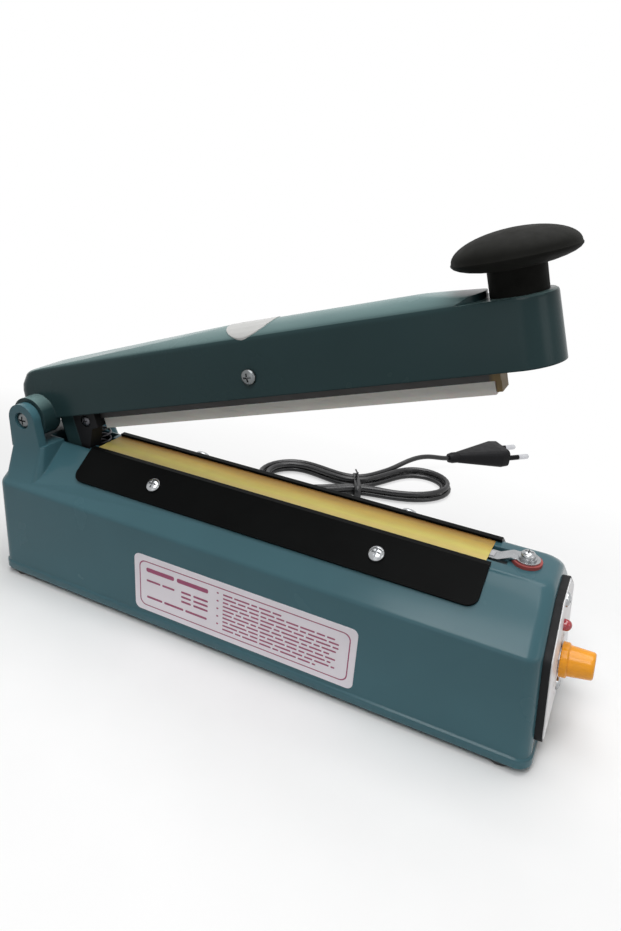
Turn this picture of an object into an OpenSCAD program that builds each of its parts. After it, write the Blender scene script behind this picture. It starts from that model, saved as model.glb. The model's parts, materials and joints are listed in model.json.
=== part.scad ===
// Hand impulse sealer: cast casing, hinged press arm, heater under a sealing cloth, timer and mains cord.
// Millimetres. +X points to the timer end, +Z up, and the origin lies under the middle of the casing.

/* [Casing] */
// Length of the heated deck, which sets how long the casing and the arm are
seal_length = 205; // [150:1:300]
// Deck behind the heater, with the hinge tower and the trigger slot
rear_deck = 41; // [41:0.5:50]
// Deck in front of the cloth, with the terminal
front_deck = 36; // [34:0.5:50]
// Width across the bottom edge
casing_width = 77.5; // [76:0.5:90]
// Width across the crease where the walls turn inward
crease_width = 75; // [72:0.5:76]
// Height of the crease above the bottom edge
crease_height = 51; // [48:0.5:52]
// Width of the flat ridge on top
ridge_width = 24.5; // [23.5:0.5:26]
// Height of the ridge above the bottom edge
casing_height = 69.6; // [68:0.1:76]
// Wall of the casting
casing_wall = 2.5; // [2:0.1:3]
// Radius of the upright corners
corner_radius = 6; // [5:0.5:11]
// Radius of the crease
crease_radius = 3; // [2:0.5:10]
// Radius along both sides of the ridge
ridge_radius = 5; // [2:0.5:8]
// Radius of the edge where the ridge meets the front end
nose_radius = 4.5; // [3:0.5:7]
// Lean of the front end, in degrees
front_lean = 6; // [0:0.5:7]
// Lean of the rear end, in degrees
rear_lean = 1; // [0:0.5:2]
// Height of the bead round the bottom edge
bead_height = 5; // [3:0.5:7]
// How far the bead stands out from the wall
bead_out = 0.7; // [0.3:0.1:1.2]
// Height of the rubber feet
foot_height = 3; // [2.5:0.5:8]
// Radius of the rubber feet
foot_radius = 6; // [5:0.5:6.5]
// Thickness of the bottom plate
plate_thickness = 1.2; // [0.8:0.1:2]

/* [Hinge] */
// Hinge axis, measured from the rear end
hinge_setback = 12; // [11:0.5:13]
// Radius of the hinge ears
ear_radius = 8.5; // [7:0.5:9.5]
// Thickness of each ear
ear_thickness = 5; // [4:0.5:6]
// Clear width between the ears
ear_gap = 44; // [43:0.5:46]
// Radius of the hinge screw's shank
hinge_screw_radius = 2.5; // [2:0.1:3]
// Radius of the arm's knuckles
knuckle_radius = 10.5; // [9:0.5:11]
// How far the arm stands open at rest, in degrees
open_angle = 17; // [12:0.5:20]

/* [Arm] */
// Width of the arm
arm_width = 27; // [26:0.5:30]
// Depth of the arm's side walls below the hinge axis
arm_drop = 3; // [2:0.5:5]
// Height of the side walls above the hinge axis
arm_side = 22.5; // [20:0.5:25]
// Rise of the crowned top above the side walls
arm_crown = 5; // [3:0.5:6]
// Wall of the arm casting
arm_wall = 2.5; // [2:0.1:3]
// Arm behind the hinge axis
arm_tail = 13; // [11:0.5:14]
// Arm beyond the cloth's front end, when closed
arm_overhang = 23; // [20:0.5:28]
// Radius of the arm's heel, seen from the side
heel_radius = 13; // [3:0.5:14]
// Depth of the strip's seat below the hinge axis
strip_seat = 7.5; // [6.5:0.5:9]
// Width of the silicone strip
strip_width = 10; // [8:0.5:12]
// Height of the silicone strip
strip_height = 5.5; // [4.5:0.5:7]
// Gap left between strip and cloth when the arm is closed
closed_gap = 0.3; // [0.2:0.1:1]

/* [Press knob] */
// Diameter of the mushroom disc
disc_diameter = 45.5; // [40:0.5:60]
// Height of the dome above the rim
dome_height = 8.5; // [4:0.5:10]
// Diameter of the stem
stem_diameter = 21; // [16:0.5:24]
// Length of the stem from the arm to the rim
stem_length = 13.5; // [11:0.5:18]

/* [Sealing deck] */
// Thickness of the sealing cloth
cloth_thickness = 0.3; // [0.2:0.05:0.6]
// Thickness of the clamp plates
clamp_thickness = 1.2; // [0.8:0.1:2]
// Height of the clamp plates along the slope
clamp_reach = 18.5; // [16:0.5:20]
// Lip that each clamp plate folds over the ridge
clamp_lip = 2.4; // [1.5:0.1:3]
// Distance between the two screws of a clamp plate
clamp_screw_spacing = 115; // [80:1:140]
// Width of the insulating bar under the heater
bar_width = 12; // [8:0.5:14]
// Height of the insulating bar
bar_height = 3; // [2:0.1:4]
// Width of the heater ribbon
ribbon_width = 4; // [2:0.5:8]
// Thickness of the heater ribbon
ribbon_thickness = 0.25; // [0.15:0.05:0.4]

/* [Front end] */
// Thickness of the end panel
panel_thickness = 3; // [2:0.5:6]
// Bottom edge of the panel above the casing's bottom edge
panel_bottom = 8.5; // [7:0.5:9]
// Margin between the panel's edge and the casing's outline
panel_margin = 6; // [4.5:0.1:6.5]
// Height of the indicator lamp
lamp_height = 46; // [44:0.5:50]
// Radius of the indicator lamp
lamp_radius = 2.5; // [1.5:0.5:3]
// Height of the timer knob's axis
timer_height = 29; // [28:0.5:31]
// Length of the timer knob
timer_knob_length = 13.5; // [13:0.5:24]
// Radius of the timer knob's skirt
timer_skirt_radius = 7.5; // [7.3:0.1:9]
// Radius of the timer knob's end
timer_end_radius = 5.75; // [5:0.25:7]
// Radius of the timer's shaft
timer_shaft_radius = 3; // [2.5:0.1:3]

/* [Label] */
// Length of the rating label
label_length = 116; // [60:1:140]
// Height of the rating label
label_height = 31; // [15:0.5:34]
// Lower edge of the rating label above the casing's bottom edge
label_bottom = 7; // [6:0.1:9]
// Diameter of the round sticker on the arm
sticker_diameter = 24; // [15:0.5:25]

/* [Mains cord] */
// Diameter of the cord
cord_diameter = 3.6; // [3:0.1:4]
// Whole turns in the hank, in two layers
hank_loops = 3; // [2:1:3]
// Half length of the hank's outer turn
hank_reach = 70; // [68:1:74]
// Half width of the hank's outer turn at its waist
hank_waist = 10.5; // [10.5:0.1:12]
// How much its lobes swell out beyond the waist
hank_bulge = 44; // [42:0.5:46]
// Distance between neighbouring turns
hank_step = 4.9; // [4.9:0.1:5.1]

/* [Hidden] */

$fn = 48;
hull_fn = 32;
layer_height = 0.01;
cut = 1;

// Clearances
running_clearance = 0.05;
push_clearance = 0.02;
screw_clearance = 0.1;
fit_gap = 0.3;

// Small screws of the panel, the transformer and the switch
small_screw = 1.5;
small_head = 2.8;
small_head_height = 2;

// Colours
teal = [0.26, 0.40, 0.44];
black = [0.04, 0.04, 0.045];
steel = [0.75, 0.76, 0.78];
gold = [0.76, 0.62, 0.32];
grey = [0.42, 0.42, 0.42];
brown = [0.42, 0.28, 0.18];
red = [0.72, 0.08, 0.09];
white = [0.92, 0.92, 0.91];
orange = [0.98, 0.58, 0.05];

// Casing outline: half widths and heights of the bottom edge, the crease and the ridge
casing_length = rear_deck + seal_length + front_deck;
edge_b = [casing_width / 2, 0];
edge_c = [crease_width / 2, crease_height];
edge_r = [ridge_width / 2, casing_height];
edge_t = [0, casing_height];
slope_angle = atan2(edge_r.y - edge_c.y, edge_c.x - edge_r.x);
slope_length = norm(edge_r - edge_c);
wall_draft = atan2(edge_b.x - edge_c.x, edge_c.y);
cloth_rear = rear_deck + 2.5;
cloth_front = rear_deck + seal_length;
seal_middle = rear_deck + seal_length / 2;
cloth_top = casing_height + cloth_thickness;

// Hinge and arm: u runs along the arm from the hinge axis, n stands square to it
strip_drop = strip_seat + strip_height;
hinge_height = cloth_top + closed_gap + strip_drop;
ear_outer = ear_gap / 2 + ear_thickness;
hinge_head = hinge_screw_radius + 1.5;
tower_top = hinge_height - knuckle_radius - 1.7;
tower_front = 24;
tower_inset = 0.8;
arm_top = arm_side + arm_crown;
arm_draft = 0.6;
arm_edge_radius = 3.5;
heel_corner = 8;
crown_rear_ramp = 24;
crown_front_ramp = 8;
arm_reach = cloth_front + arm_overhang - hinge_setback;
arm_front_centre = arm_reach - arm_width / 2;
crown_end = arm_front_centre - stem_diameter / 2 - 1;
strip_rear = rear_deck + 4.3 - hinge_setback;
strip_front = cloth_front - 2 - hinge_setback;
holder_front = strip_front + 2.5;
arm_middle = seal_middle - hinge_setback;
sticker_sheet = 0.25;
sticker_y = -1.3;
cross_screw_height = 6.3;
cross_screw_radius = 2;
cross_head = 3.5;

// Trigger slot, switch and return spring
slot_rear = 15;
slot_half = 11.5;
trigger_near = -(ridge_width / 2 - clamp_lip - fit_gap);
trigger_far = -1.5;
trigger_rear = 17;
trigger_front = strip_rear - 1.5;
web_thickness = 2.3;
web_far = trigger_far + web_thickness;
trigger_drop = 23;
trigger_tip = 21.5;
trigger_screw_u = 24.5;
trigger_screw_n = -7.5;
trigger_sink = 1.5;
tongue_rear = 8;
tongue_drop = trigger_drop - 1.5;
spring_u = 22;
spring_y = 5.8;
spring_seat_drop = 5;
spring_seat_radius = 5.5;
spring_radius = 4.2;
spring_wire = 1.2;
spring_turns = 8;
pivot_x = 14;
pivot_height = hinge_height - trigger_drop - 1.7;
lever_gap = 0.35;
lever_lift = 1.2;
lever_thickness = 0.6;
lever_length = 25;
lever_pin_radius = 0.8;
switch_size = [28, 10.3, 16];
switch_top = pivot_height - 1.8;
switch_rear = pivot_x - 2.5;
switch_far = 0.3;
bracket_sheet = 1.5;
bracket_top = switch_top - 4.7;
bracket_screw_y = 18;
bracket_screw_x = [18, 36];
bracket_screw_depth = 6;
boss_radius = 3.5;

// Front end, counted outward from the casing's front plane
face_sheet = 0.4;
knob_start = panel_thickness + face_sheet + 0.5;
knob_end = knob_start + timer_knob_length;
panel_screw_heights = [panel_bottom + 8, casing_height - panel_margin - 5.5];
timer_bush_radius = timer_shaft_radius + 0.5;
timer_nut_radius = timer_bush_radius + 2.2;
panel_head = 3.1;
timer_can_radius = 8.5;
board_back = -9;
board_size = [1.6, 38, 34];
board_bottom = 17;
window_size = [42, 35];
window_bottom = 19;
relay_size = [15, 15, 19];
capacitor_radius = 5;
capacitor_length = 12;
driver_size = [4.5, 10, 8];

// The origin lies midway between the open arm's heel and the lower corner of the timer knob's end
heel_x = hinge_setback - (arm_tail - heel_radius) * cos(open_angle)
    - (arm_side - heel_radius) * sin(open_angle) - heel_radius;
knob_end_x = casing_length + knob_end * cos(front_lean) - (timer_height - timer_end_radius) * sin(front_lean);
rear_x = -(knob_end_x + min(heel_x, -bead_out)) / 2;

// Bottom fixings
post_x = [corner_radius + 4, casing_length - corner_radius - 6];
post_y = edge_b.x - casing_wall - 4;
post_radius = 5;
post_height = 12;
bottom_screw_radius = 2;
bottom_head = 3.5;
foot_edge = 0.8;
foot_floor = 1;

// Transformer, on the bottom plate
core_size = [57, 24, 48];
core_leg = 19;
window_height = 29;
coil_build = 8.5;
strap_thickness = 1.2;
strap_foot = 12;

// Sealing deck
groove_depth = bar_height + ribbon_thickness;
rail_half = 8.5;
rail_depth = groove_depth + 3;
terminal_x = cloth_front + 15;
rear_terminal_x = rear_deck + 12;
washer_thickness = 1.5;
washer_radius = 6.2;
clip_thickness = 0.8;
clip_half = 3.5;
terminal_screw_radius = 2;
terminal_head = 3;
terminal_ring = 3.8;
clamp_low = slope_length - clamp_reach;
clamp_screw_rise = slope_length - clamp_reach / 2;
clamp_front = cloth_front + 2.5;
clamp_length = clamp_front - cloth_rear;
clamp_corner = 5;
clamp_screw_x = [for (side = [-1, 1]) (cloth_rear + clamp_front + side * clamp_screw_spacing) / 2];
clamp_screw_radius = 2;
cloth_low = clamp_screw_rise - 5;

// Mains cord: the gland, the lead's points, the hank and the plug
cord_radius = cord_diameter / 2;
gland_x = -100;
gland_rise = 12;
gland_height = foot_height + gland_rise;
gland_flange = 6;
gland_hole = 4.5;
gland_length = 30;
gland_seat = edge_b.x - (gland_rise - gland_flange) * tan(wall_draft);
gland_end = gland_seat + gland_length;
hank_centre = [-20, 154];
hank_yaw = 27;
hank_pinch = 0.4;
hank_bend = 125;
tie_thickness = 0.8;
tie_width = 4;
hank_floor = tie_thickness + 0.2;
hank_low = hank_floor + cord_radius;
hank_layer = cord_diameter + 0.5;
rings_per_turn = 24;
hank_rings = hank_loops * rings_per_turn + 8;
hank_turns = hank_rings / rings_per_turn;
hank_in = (hank_turns - 0.5) / 2;
tail_pull = [70, 50];
tail_lift = 4;
plug_place = [23.5, 232.8];
plug_yaw = 45;
plug_thickness = 14;
plug_height = plug_thickness / 2 + 0.2;
plug_length = 47;
plug_width = 26;
// Plug body: layers of [distance from the cord, width, thickness]
plug_layers = [
    [8, 7.5, 8], [16, 9, 9.5],
    [plug_length - 11, plug_width - 5, plug_thickness - 1],
    [plug_length - 6, plug_width, plug_thickness],
    [plug_length - layer_height, plug_width - 1, plug_thickness - 0.6]];
pin_radius = 2;
pin_root_radius = 1.6;
pin_root = 7.5;
pin_spacing = 18.6;
pin_length = 19;

// Geometry helpers
function unit(v) = v / norm(v);
function half_angle(a, b, c) = acos(unit(a - b) * unit(c - b)) / 2;
function inset_corner(a, b, c, d) = b + unit(unit(a - b) + unit(c - b)) * d / sin(half_angle(a, b, c));
function turned(v, angle) = [v.x * cos(angle) - v.y * sin(angle), v.x * sin(angle) + v.y * cos(angle)];
function fillet(a, b, c, r, n) =
    let (middle = inset_corner(a, b, c, r),
         reach = r / tan(half_angle(a, b, c)),
         start = b + unit(a - b) * reach - middle,
         end = b + unit(c - b) * reach - middle,
         sweep = acos(unit(start) * unit(end)) * sign(start.x * end.y - start.y * end.x))
    [for (i = [0:n]) middle + turned(start, sweep * i / n)];
function rounded(points, r, n = 6) =
    let (count = len(points))
    [for (i = [0:count - 1])
        each fillet(points[(i + count - 1) % count], points[i], points[(i + 1) % count], r, n)];
function mirrored(points) = [for (i = [len(points) - 1:-1:0]) [-points[i].x, points[i].y]];
// How far a rounded top edge of radius r has drawn back at height z
function drawn_back(z, top, r) = z > top - r ? r - sqrt(max(0, r * r - pow(z - top + r, 2))) : 0;

// Casing form: layers of [half width, height, outset of both ends]
function front_end(z) = casing_length - z * tan(front_lean) - drawn_back(z, casing_height, nose_radius);
function rear_end(z) = z * tan(rear_lean);
function wall_half(z) = edge_b.x - z * tan(wall_draft);
function slope_half(z) = edge_c.x - (z - edge_c.y) / tan(slope_angle);
nose_layers = [for (a = [0, 25, 50])
    let (z = casing_height - nose_radius * (1 - sin(a))) [slope_half(z), z]];
outer_layers = [
    for (p = [edge_b,
              each fillet(edge_b, edge_c, edge_r, crease_radius, 5),
              each nose_layers,
              each fillet(edge_c, edge_r, edge_t, ridge_radius, 4)]) [p.x, p.y, 0]];
inner_layers = [
    for (p = [[edge_b.x - casing_wall, -cut],
              inset_corner(edge_b, edge_c, edge_r, casing_wall),
              inset_corner(edge_c, edge_r, edge_t, casing_wall)]) [p.x, p.y, -casing_wall]];
bead_layers = [
    [edge_b.x + bead_out / 2, 0, bead_out / 2],
    [edge_b.x + bead_out, bead_out, bead_out],
    [edge_b.x + bead_out, bead_height - bead_out, bead_out],
    [wall_half(bead_height), bead_height, 0]];

// Arm form: layers of [half width, height]
function arm_section(inset) =
    let (half = arm_width / 2 - inset,
         rise = arm_crown * half * 2 / arm_width,
         arc = (half * half + rise * rise) / rise / 2,
         sweep = asin(half / arc),
         low = [half + arm_draft, -arm_drop],
         shoulder = [half, arm_side - inset],
         crown = [for (share = [0.75, 0.5, 0.25, 0])
             shoulder + [arc * sin(sweep * share) - half, rise - arc * (1 - cos(sweep * share))]])
    [low, each fillet(low, shoulder, crown[0], arm_edge_radius, 5),
     for (p = crown) [max(p.x, 0.5), p.y]];
function arm_side_half(n) = arm_width / 2 + arm_draft * (arm_side - n) / (arm_side + arm_drop);
cross_seat = arm_side_half(cross_screw_height - cross_head);

// Arm point [u, n] in casing coordinates [x, z] when the arm stands at an angle
function arm_point(p, angle) = [hinge_setback, hinge_height] + turned(p, angle);
function lever_angle(arm_angle) =
    let (tip = arm_point([(trigger_rear + trigger_tip) / 2, -trigger_drop], arm_angle) - [0, lever_gap],
         d = tip - [pivot_x, pivot_height])
    atan2(d.y, d.x) - asin(lever_lift / norm(d));
lever_rest = lever_angle(open_angle);
plunger_x = pivot_x + 4.5;
plunger_radius = 1.2;
plunger_top = pivot_height + (plunger_x - plunger_radius - pivot_x) * tan(lever_rest)
    + (lever_lift - lever_thickness) / cos(lever_rest) - 0.25;
spring_seat = arm_point([spring_u, -spring_seat_drop], open_angle);
spring_top = spring_seat.y - spring_seat_radius * sin(open_angle) - fit_gap;
spring_x = arm_point([spring_u, -spring_seat_drop], open_angle / 2).x;

// Tube swept along points, its rings square to the path
function tangent(points, i) =
    unit(points[min(i + 1, len(points) - 1)] - points[max(i - 1, 0)]);
function ring(centre, along, r, sides) =
    let (side = unit(cross([0, 0, 1], along)), rise = cross(along, side))
    [for (k = [0:sides - 1]) centre + r * (cos(360 * k / sides) * side + sin(360 * k / sides) * rise)];
module tube(points, r, sides) {
    count = len(points);
    rings = [for (i = [0:count - 1]) each ring(points[i], tangent(points, i), r, sides)];
    walls = [for (i = [0:count - 2], k = [0:sides - 1])
        let (a = i * sides + k, b = i * sides + (k + 1) % sides)
        each [[a, a + sides, b], [b, a + sides, b + sides]]];
    first_cap = [for (k = [1:sides - 2]) [0, k, k + 1]];
    last = (count - 1) * sides;
    last_cap = [for (k = [1:sides - 2]) [last, last + k + 1, last + k]];
    polyhedron(rings, [each walls, each first_cap, each last_cap]);
}
// Points along a path, at every share of each step
function along_path(points, shares) =
    [for (i = [0:len(points) - 2], s = [0:shares - 1])
        points[i] + (points[i + 1] - points[i]) * s / shares];
// Least gap of a tube to itself, between points that lie more than skip steps apart on it
function least_gap(points, skip, diameter) =
    min([for (i = [0:len(points) - 1 - skip]) for (j = [i + skip:len(points) - 1])
        norm(points[i] - points[j])]) - diameter;
function path_length(points, i = 0, sum = 0) =
    i >= len(points) - 1 ? sum : path_length(points, i + 1, sum + norm(points[i + 1] - points[i]));

// Hank: a waisted oval, wound inward on the floor, lifted over half a turn and wound outward on top
function oval(angle) =
    [hank_reach * cos(angle) * (1 - hank_pinch * pow(sin(angle), 2)),
     sin(angle) * (hank_waist + hank_bulge * pow(cos(angle), 2))];
function hank_inset(turn) =
    turn < hank_in ? turn
    : turn < hank_in + 0.5 ? hank_in
    : hank_in - (turn - hank_in - 0.5);
function hank_rise(turn) =
    let (s = min(1, max(0, (turn - hank_in) / 0.5))) s * s * (3 - 2 * s) * hank_layer;
function hank_local(turn) =
    let (a = 180 - 360 * turn,
         p = oval(a),
         along = unit(oval(a - 0.5) - oval(a + 0.5)),
         q = p + [along.y, -along.x] * hank_step * hank_inset(turn))
    [q.x, q.y, hank_rise(turn)];
// The whole hank curves gently away from the casing at both ends
function hank_place(p) =
    let (r = hank_bend - p.y,
         swing = p.x / hank_bend * 180 / PI,
         q = turned([r * sin(swing), hank_bend - r * cos(swing)], hank_yaw))
    [hank_centre.x + q.x, hank_centre.y + q.y, hank_low + p.z];
hank_turn_points = [for (i = [0:hank_rings]) hank_place(hank_local(i / rings_per_turn))];
hank_head = hank_turn_points[0];
hank_head_along = unit(hank_place(hank_local(0.002)) - hank_head);
hank_foot = hank_turn_points[hank_rings];
hank_foot_along = unit(hank_foot - hank_place(hank_local(hank_turns - 0.002)));
hank_points = [hank_head - hank_head_along * cord_diameter, each hank_turn_points,
    hank_foot + hank_foot_along * cord_diameter];
hank_start = hank_points[0];
hank_end = hank_points[len(hank_points) - 1];

// Lead from the strain relief down to the surface and round to the hank
lead_points = [
    [gland_x, gland_end, gland_height],
    [-100, 76, 14.6],
    [-99.7, 84, 12.6],
    [-98.9, 92, 9.5],
    [-97.5, 100, 6.5],
    [-95.4, 108, 4.4],
    [-92.9, 116.5, 3.3],
    hank_start - hank_head_along * 10,
    hank_start];

// Tail from the hank's upper layer to the plug
plug_along = [cos(plug_yaw), sin(plug_yaw), 0];
plug_entry = [plug_place.x, plug_place.y, plug_height];
function tail_at(t) =
    (2 * pow(t, 3) - 3 * pow(t, 2) + 1) * hank_end
    + (pow(t, 3) - 2 * pow(t, 2) + t) * tail_pull[0] * hank_foot_along
    + (3 * pow(t, 2) - 2 * pow(t, 3)) * plug_entry
    + (pow(t, 3) - pow(t, 2)) * tail_pull[1] * plug_along
    + [0, 0, tail_lift * 16 * pow(t * (1 - t), 2)];
tail_points = [for (i = [0:12]) tail_at(i / 12)];

// Frames
module in_casing() translate([rear_x, 0, foot_height]) children();
module in_arm() in_casing() translate([hinge_setback, 0, hinge_height])
    rotate([0, -open_angle, 0]) children();
module on_front() in_casing() translate([casing_length, 0, 0]) rotate([0, -front_lean, 0]) children();
module on_slope(side) mirror([0, side > 0 ? 1 : 0, 0])
    translate([0, -edge_c.x, edge_c.y]) rotate([slope_angle, 0, 0]) children();
module in_plug() translate(plug_entry) rotate([0, 0, plug_yaw]) children();
module both_sides() for (side = [0, 1]) mirror([0, side, 0]) children();
module along_x(length) rotate([90, 0, 90]) linear_extrude(length) children();
module along_y(from, to) translate([0, to, 0]) rotate([90, 0, 0]) linear_extrude(to - from) children();
module out_x() rotate([0, 90, 0]) children();
module out_y() rotate([-90, 0, 0]) children();

// Pan-head screw, its head's seat at z = 0 and its shank going down, with a cross recess
module pan_screw(shank_r, length, head_r, head_h) {
    recess = head_h * 0.6;
    difference() {
        union() {
            rotate_extrude() polygon([
                [0, 0], [head_r, 0], [head_r, head_h * 0.35],
                each [for (a = [15:15:75]) [head_r * cos(a), head_h * (0.35 + 0.65 * sin(a))]],
                [0, head_h]]);
            translate([0, 0, -length]) cylinder(r = shank_r, h = length);
        }
        for (turn = [0, 90]) rotate([0, 0, turn])
            translate([-head_r * 0.55, -head_r * 0.11, head_h - recess])
                cube([head_r * 1.1, head_r * 0.22, recess + cut]);
    }
}

// Casing
module casing_form(layers, corner) hull()
    for (p = layers, side = [-1, 1]) {
        r = min(corner, p[0]);
        z = p[1] > 0 ? p[1] - layer_height : p[1];
        for (x = [rear_end(z) - p[2] + r, front_end(z) + p[2] - r])
            translate([x, side * (p[0] - r), z]) cylinder(r = r, h = layer_height, $fn = hull_fn);
    }
module hinge_tower() {
    foot_z = crease_height - 4;
    foot_half = wall_half(foot_z) - tower_inset;
    head_rear = hinge_setback - ear_radius;
    hull() for (side = [-1, 1]) {
        for (x = [rear_end(foot_z) + tower_inset + corner_radius, tower_front + 2 - corner_radius])
            translate([x, side * (foot_half - corner_radius), foot_z])
                cylinder(r = corner_radius, h = layer_height, $fn = hull_fn);
        for (x = [head_rear + corner_radius / 2, tower_front - corner_radius / 2])
            translate([x, side * (ear_outer - corner_radius / 2), tower_top - 4])
                cylinder(r = corner_radius / 2, h = 4, $fn = hull_fn);
    }
}
module hinge_ears() both_sides() {
    translate([hinge_setback, ear_gap / 2, hinge_height]) out_y()
        cylinder(r = ear_radius, h = ear_thickness);
    along_y(ear_gap / 2, ear_outer) polygon([
        [hinge_setback - ear_radius, hinge_height],
        [hinge_setback - ear_radius, tower_top - 3],
        [tower_front - 1, tower_top - 3],
        [hinge_setback + ear_radius, hinge_height]]);
}
module ridge_rail()
    translate([rear_deck, -rail_half, casing_height - rail_depth])
        cube([terminal_x + 7 - rear_deck, rail_half * 2, rail_depth - casing_wall / 2]);
module corner_posts()
    for (x = post_x, y = [-post_y, post_y]) translate([x, y, plate_thickness])
        cylinder(r = post_radius, h = post_height);
module bracket_bosses() {
    top = crease_height + (edge_c.x - bracket_screw_y - boss_radius) * tan(slope_angle) - casing_wall / 4;
    for (x = bracket_screw_x) translate([x, bracket_screw_y, bracket_top])
        cylinder(r = boss_radius, h = top - bracket_top);
}
module rear_terminal_boss() {
    low = casing_height - rail_depth - 4;
    translate([rear_terminal_x, 0, low]) cylinder(r = washer_radius, h = 4 + cut);
}
module casing_cuts() {
    // Trigger slot and the heater's groove, open to it
    translate([slot_rear, -slot_half, casing_height - rail_depth - 6])
        cube([rear_deck - slot_rear, slot_half * 2, rail_depth + 30]);
    translate([rear_deck - cut, -bar_width / 2 - screw_clearance, casing_height - groove_depth])
        cube([cloth_front + 8 - rear_deck + cut, bar_width + screw_clearance * 2, groove_depth + cut]);
    translate([rear_deck + 2.5, -clip_half - fit_gap, casing_height - rail_depth - cut])
        cube([6.5, (clip_half + fit_gap) * 2, rail_depth]);
    // Hinge screws, with room for their heads
    both_sides() translate([hinge_setback, 0, hinge_height]) out_y() {
        cylinder(r = hinge_screw_radius + running_clearance, h = ear_outer + cut);
        translate([0, 0, ear_outer - ear_thickness / 2])
            cylinder(r = hinge_head + fit_gap, h = ear_thickness);
    }
    // Clamp plate screws
    for (side = [-1, 1], x = clamp_screw_x) on_slope(side) translate([x, clamp_screw_rise, -casing_wall * 4])
        cylinder(r = clamp_screw_radius + screw_clearance, h = casing_wall * 5);
    // Terminal screws
    translate([terminal_x, 0, casing_height - rail_depth - cut])
        cylinder(r = terminal_screw_radius + screw_clearance, h = rail_depth + cut * 2);
    translate([rear_terminal_x, 0, casing_height - rail_depth - 4 - cut])
        cylinder(r = terminal_screw_radius + screw_clearance, h = 6.4);
    // Bottom screws and bracket screws
    for (x = post_x, y = [-post_y, post_y]) translate([x, y, 0])
        cylinder(r = bottom_screw_radius + screw_clearance, h = post_height);
    for (x = bracket_screw_x) translate([x, bracket_screw_y, bracket_top - cut])
        cylinder(r = small_screw + screw_clearance, h = bracket_screw_depth + cut * 2);
    // Cord entry in the back wall
    translate([gland_x - rear_x, edge_b.x - casing_wall * 2, gland_height - foot_height]) out_y()
        cylinder(r = gland_hole, h = casing_wall * 3);
}
module front_cuts() {
    // Window for the timer, and the panel screws
    translate([-casing_wall * 3, -window_size.x / 2, window_bottom])
        cube([casing_wall * 4, window_size.x, window_size.y]);
    for (z = panel_screw_heights) translate([-casing_wall * 4, 0, z]) out_x()
        cylinder(r = small_screw + screw_clearance, h = casing_wall * 5);
}
module base_casing() color(teal) difference() {
    in_casing() difference() {
        union() {
            difference() {
                union() {
                    casing_form(outer_layers, corner_radius);
                    casing_form(bead_layers, corner_radius + bead_out);
                    hinge_tower();
                }
                casing_form(inner_layers, corner_radius - casing_wall);
            }
            hinge_ears();
            ridge_rail();
            corner_posts();
            bracket_bosses();
            rear_terminal_boss();
        }
        casing_cuts();
    }
    on_front() front_cuts();
}

// Bottom
module bottom_plate() color(steel) in_casing() {
    inset = casing_wall + fit_gap;
    corner = corner_radius - inset;
    difference() {
        linear_extrude(plate_thickness) polygon(rounded([
            [inset, -edge_b.x + inset], [front_end(plate_thickness) - inset, -edge_b.x + inset],
            [front_end(plate_thickness) - inset, edge_b.x - inset], [inset, edge_b.x - inset]], corner));
        for (x = post_x, y = [-post_y, post_y]) translate([x, y, -cut])
            cylinder(r = bottom_screw_radius + screw_clearance, h = plate_thickness + cut * 2);
        for (side = [-1, 1]) translate([strap_screw_x(side), 0, -cut])
            cylinder(r = small_screw + screw_clearance, h = plate_thickness + cut * 2);
    }
}
module rubber_feet() color(black) in_casing()
    for (x = post_x, y = [-post_y, post_y]) translate([x, y, -foot_height]) difference() {
        rotate_extrude() polygon([
            [0, 0], [foot_radius - foot_edge, 0], [foot_radius, foot_edge],
            [foot_radius, foot_height], [0, foot_height]]);
        translate([0, 0, -cut])
            cylinder(r = bottom_screw_radius + screw_clearance, h = foot_height + cut * 2);
        translate([0, 0, -cut]) cylinder(r = bottom_head + 0.5, h = foot_height - foot_floor + cut);
    }
module bottom_screws() color(steel) in_casing()
    for (x = post_x, y = [-post_y, post_y]) translate([x, y, -foot_floor]) mirror([0, 0, 1])
        pan_screw(bottom_screw_radius, 10, bottom_head, 1.5);

// Front end
panel_corners = [
    [edge_b.x - panel_margin, panel_bottom],
    inset_corner(edge_b, edge_c, edge_r, panel_margin),
    inset_corner(edge_c, edge_r, edge_t, panel_margin)];
panel_outline = [each panel_corners, each mirrored(panel_corners)];
panel_corner = 6;
module panel_holes(lamp_r, bush_r, screw_r) {
    translate([-cut, 0, lamp_height]) out_x() cylinder(r = lamp_r, h = panel_thickness * 3);
    translate([-cut, 0, timer_height]) out_x() cylinder(r = bush_r, h = panel_thickness * 3);
    for (z = panel_screw_heights) translate([-cut, 0, z]) out_x()
        cylinder(r = screw_r, h = panel_thickness * 3);
}
module end_panel() color(black) on_front() difference() {
    along_x(panel_thickness) polygon(rounded(panel_outline, panel_corner));
    panel_holes(lamp_radius + running_clearance, timer_bush_radius + screw_clearance,
        small_screw + screw_clearance);
}
module panel_face() color([0.82, 0.83, 0.84]) on_front() difference() {
    translate([panel_thickness, 0, 0]) along_x(face_sheet)
        offset(delta = -1) polygon(rounded(panel_outline, panel_corner));
    panel_holes(lamp_radius + 0.2, timer_nut_radius + 0.4, panel_head + 0.3);
}
module panel_screws() color(steel) on_front()
    for (z = panel_screw_heights) translate([panel_thickness, 0, z]) out_x()
        pan_screw(small_screw, panel_thickness + 5, panel_head, small_head_height);
module indicator_lamp() color(red) on_front() translate([0, 0, lamp_height]) {
    dome = panel_thickness + 1.2;
    translate([-4, 0, 0]) out_x() cylinder(r = lamp_radius, h = dome + 4);
    translate([dome, 0, 0]) sphere(r = lamp_radius);
    translate([-5, 0, 0]) out_x() cylinder(r = lamp_radius + 0.5, h = 1);
    for (y = [-1.27, 1.27]) translate([board_back, y, 0]) out_x() cylinder(r = 0.3, h = -board_back - 4.5);
}
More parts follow.
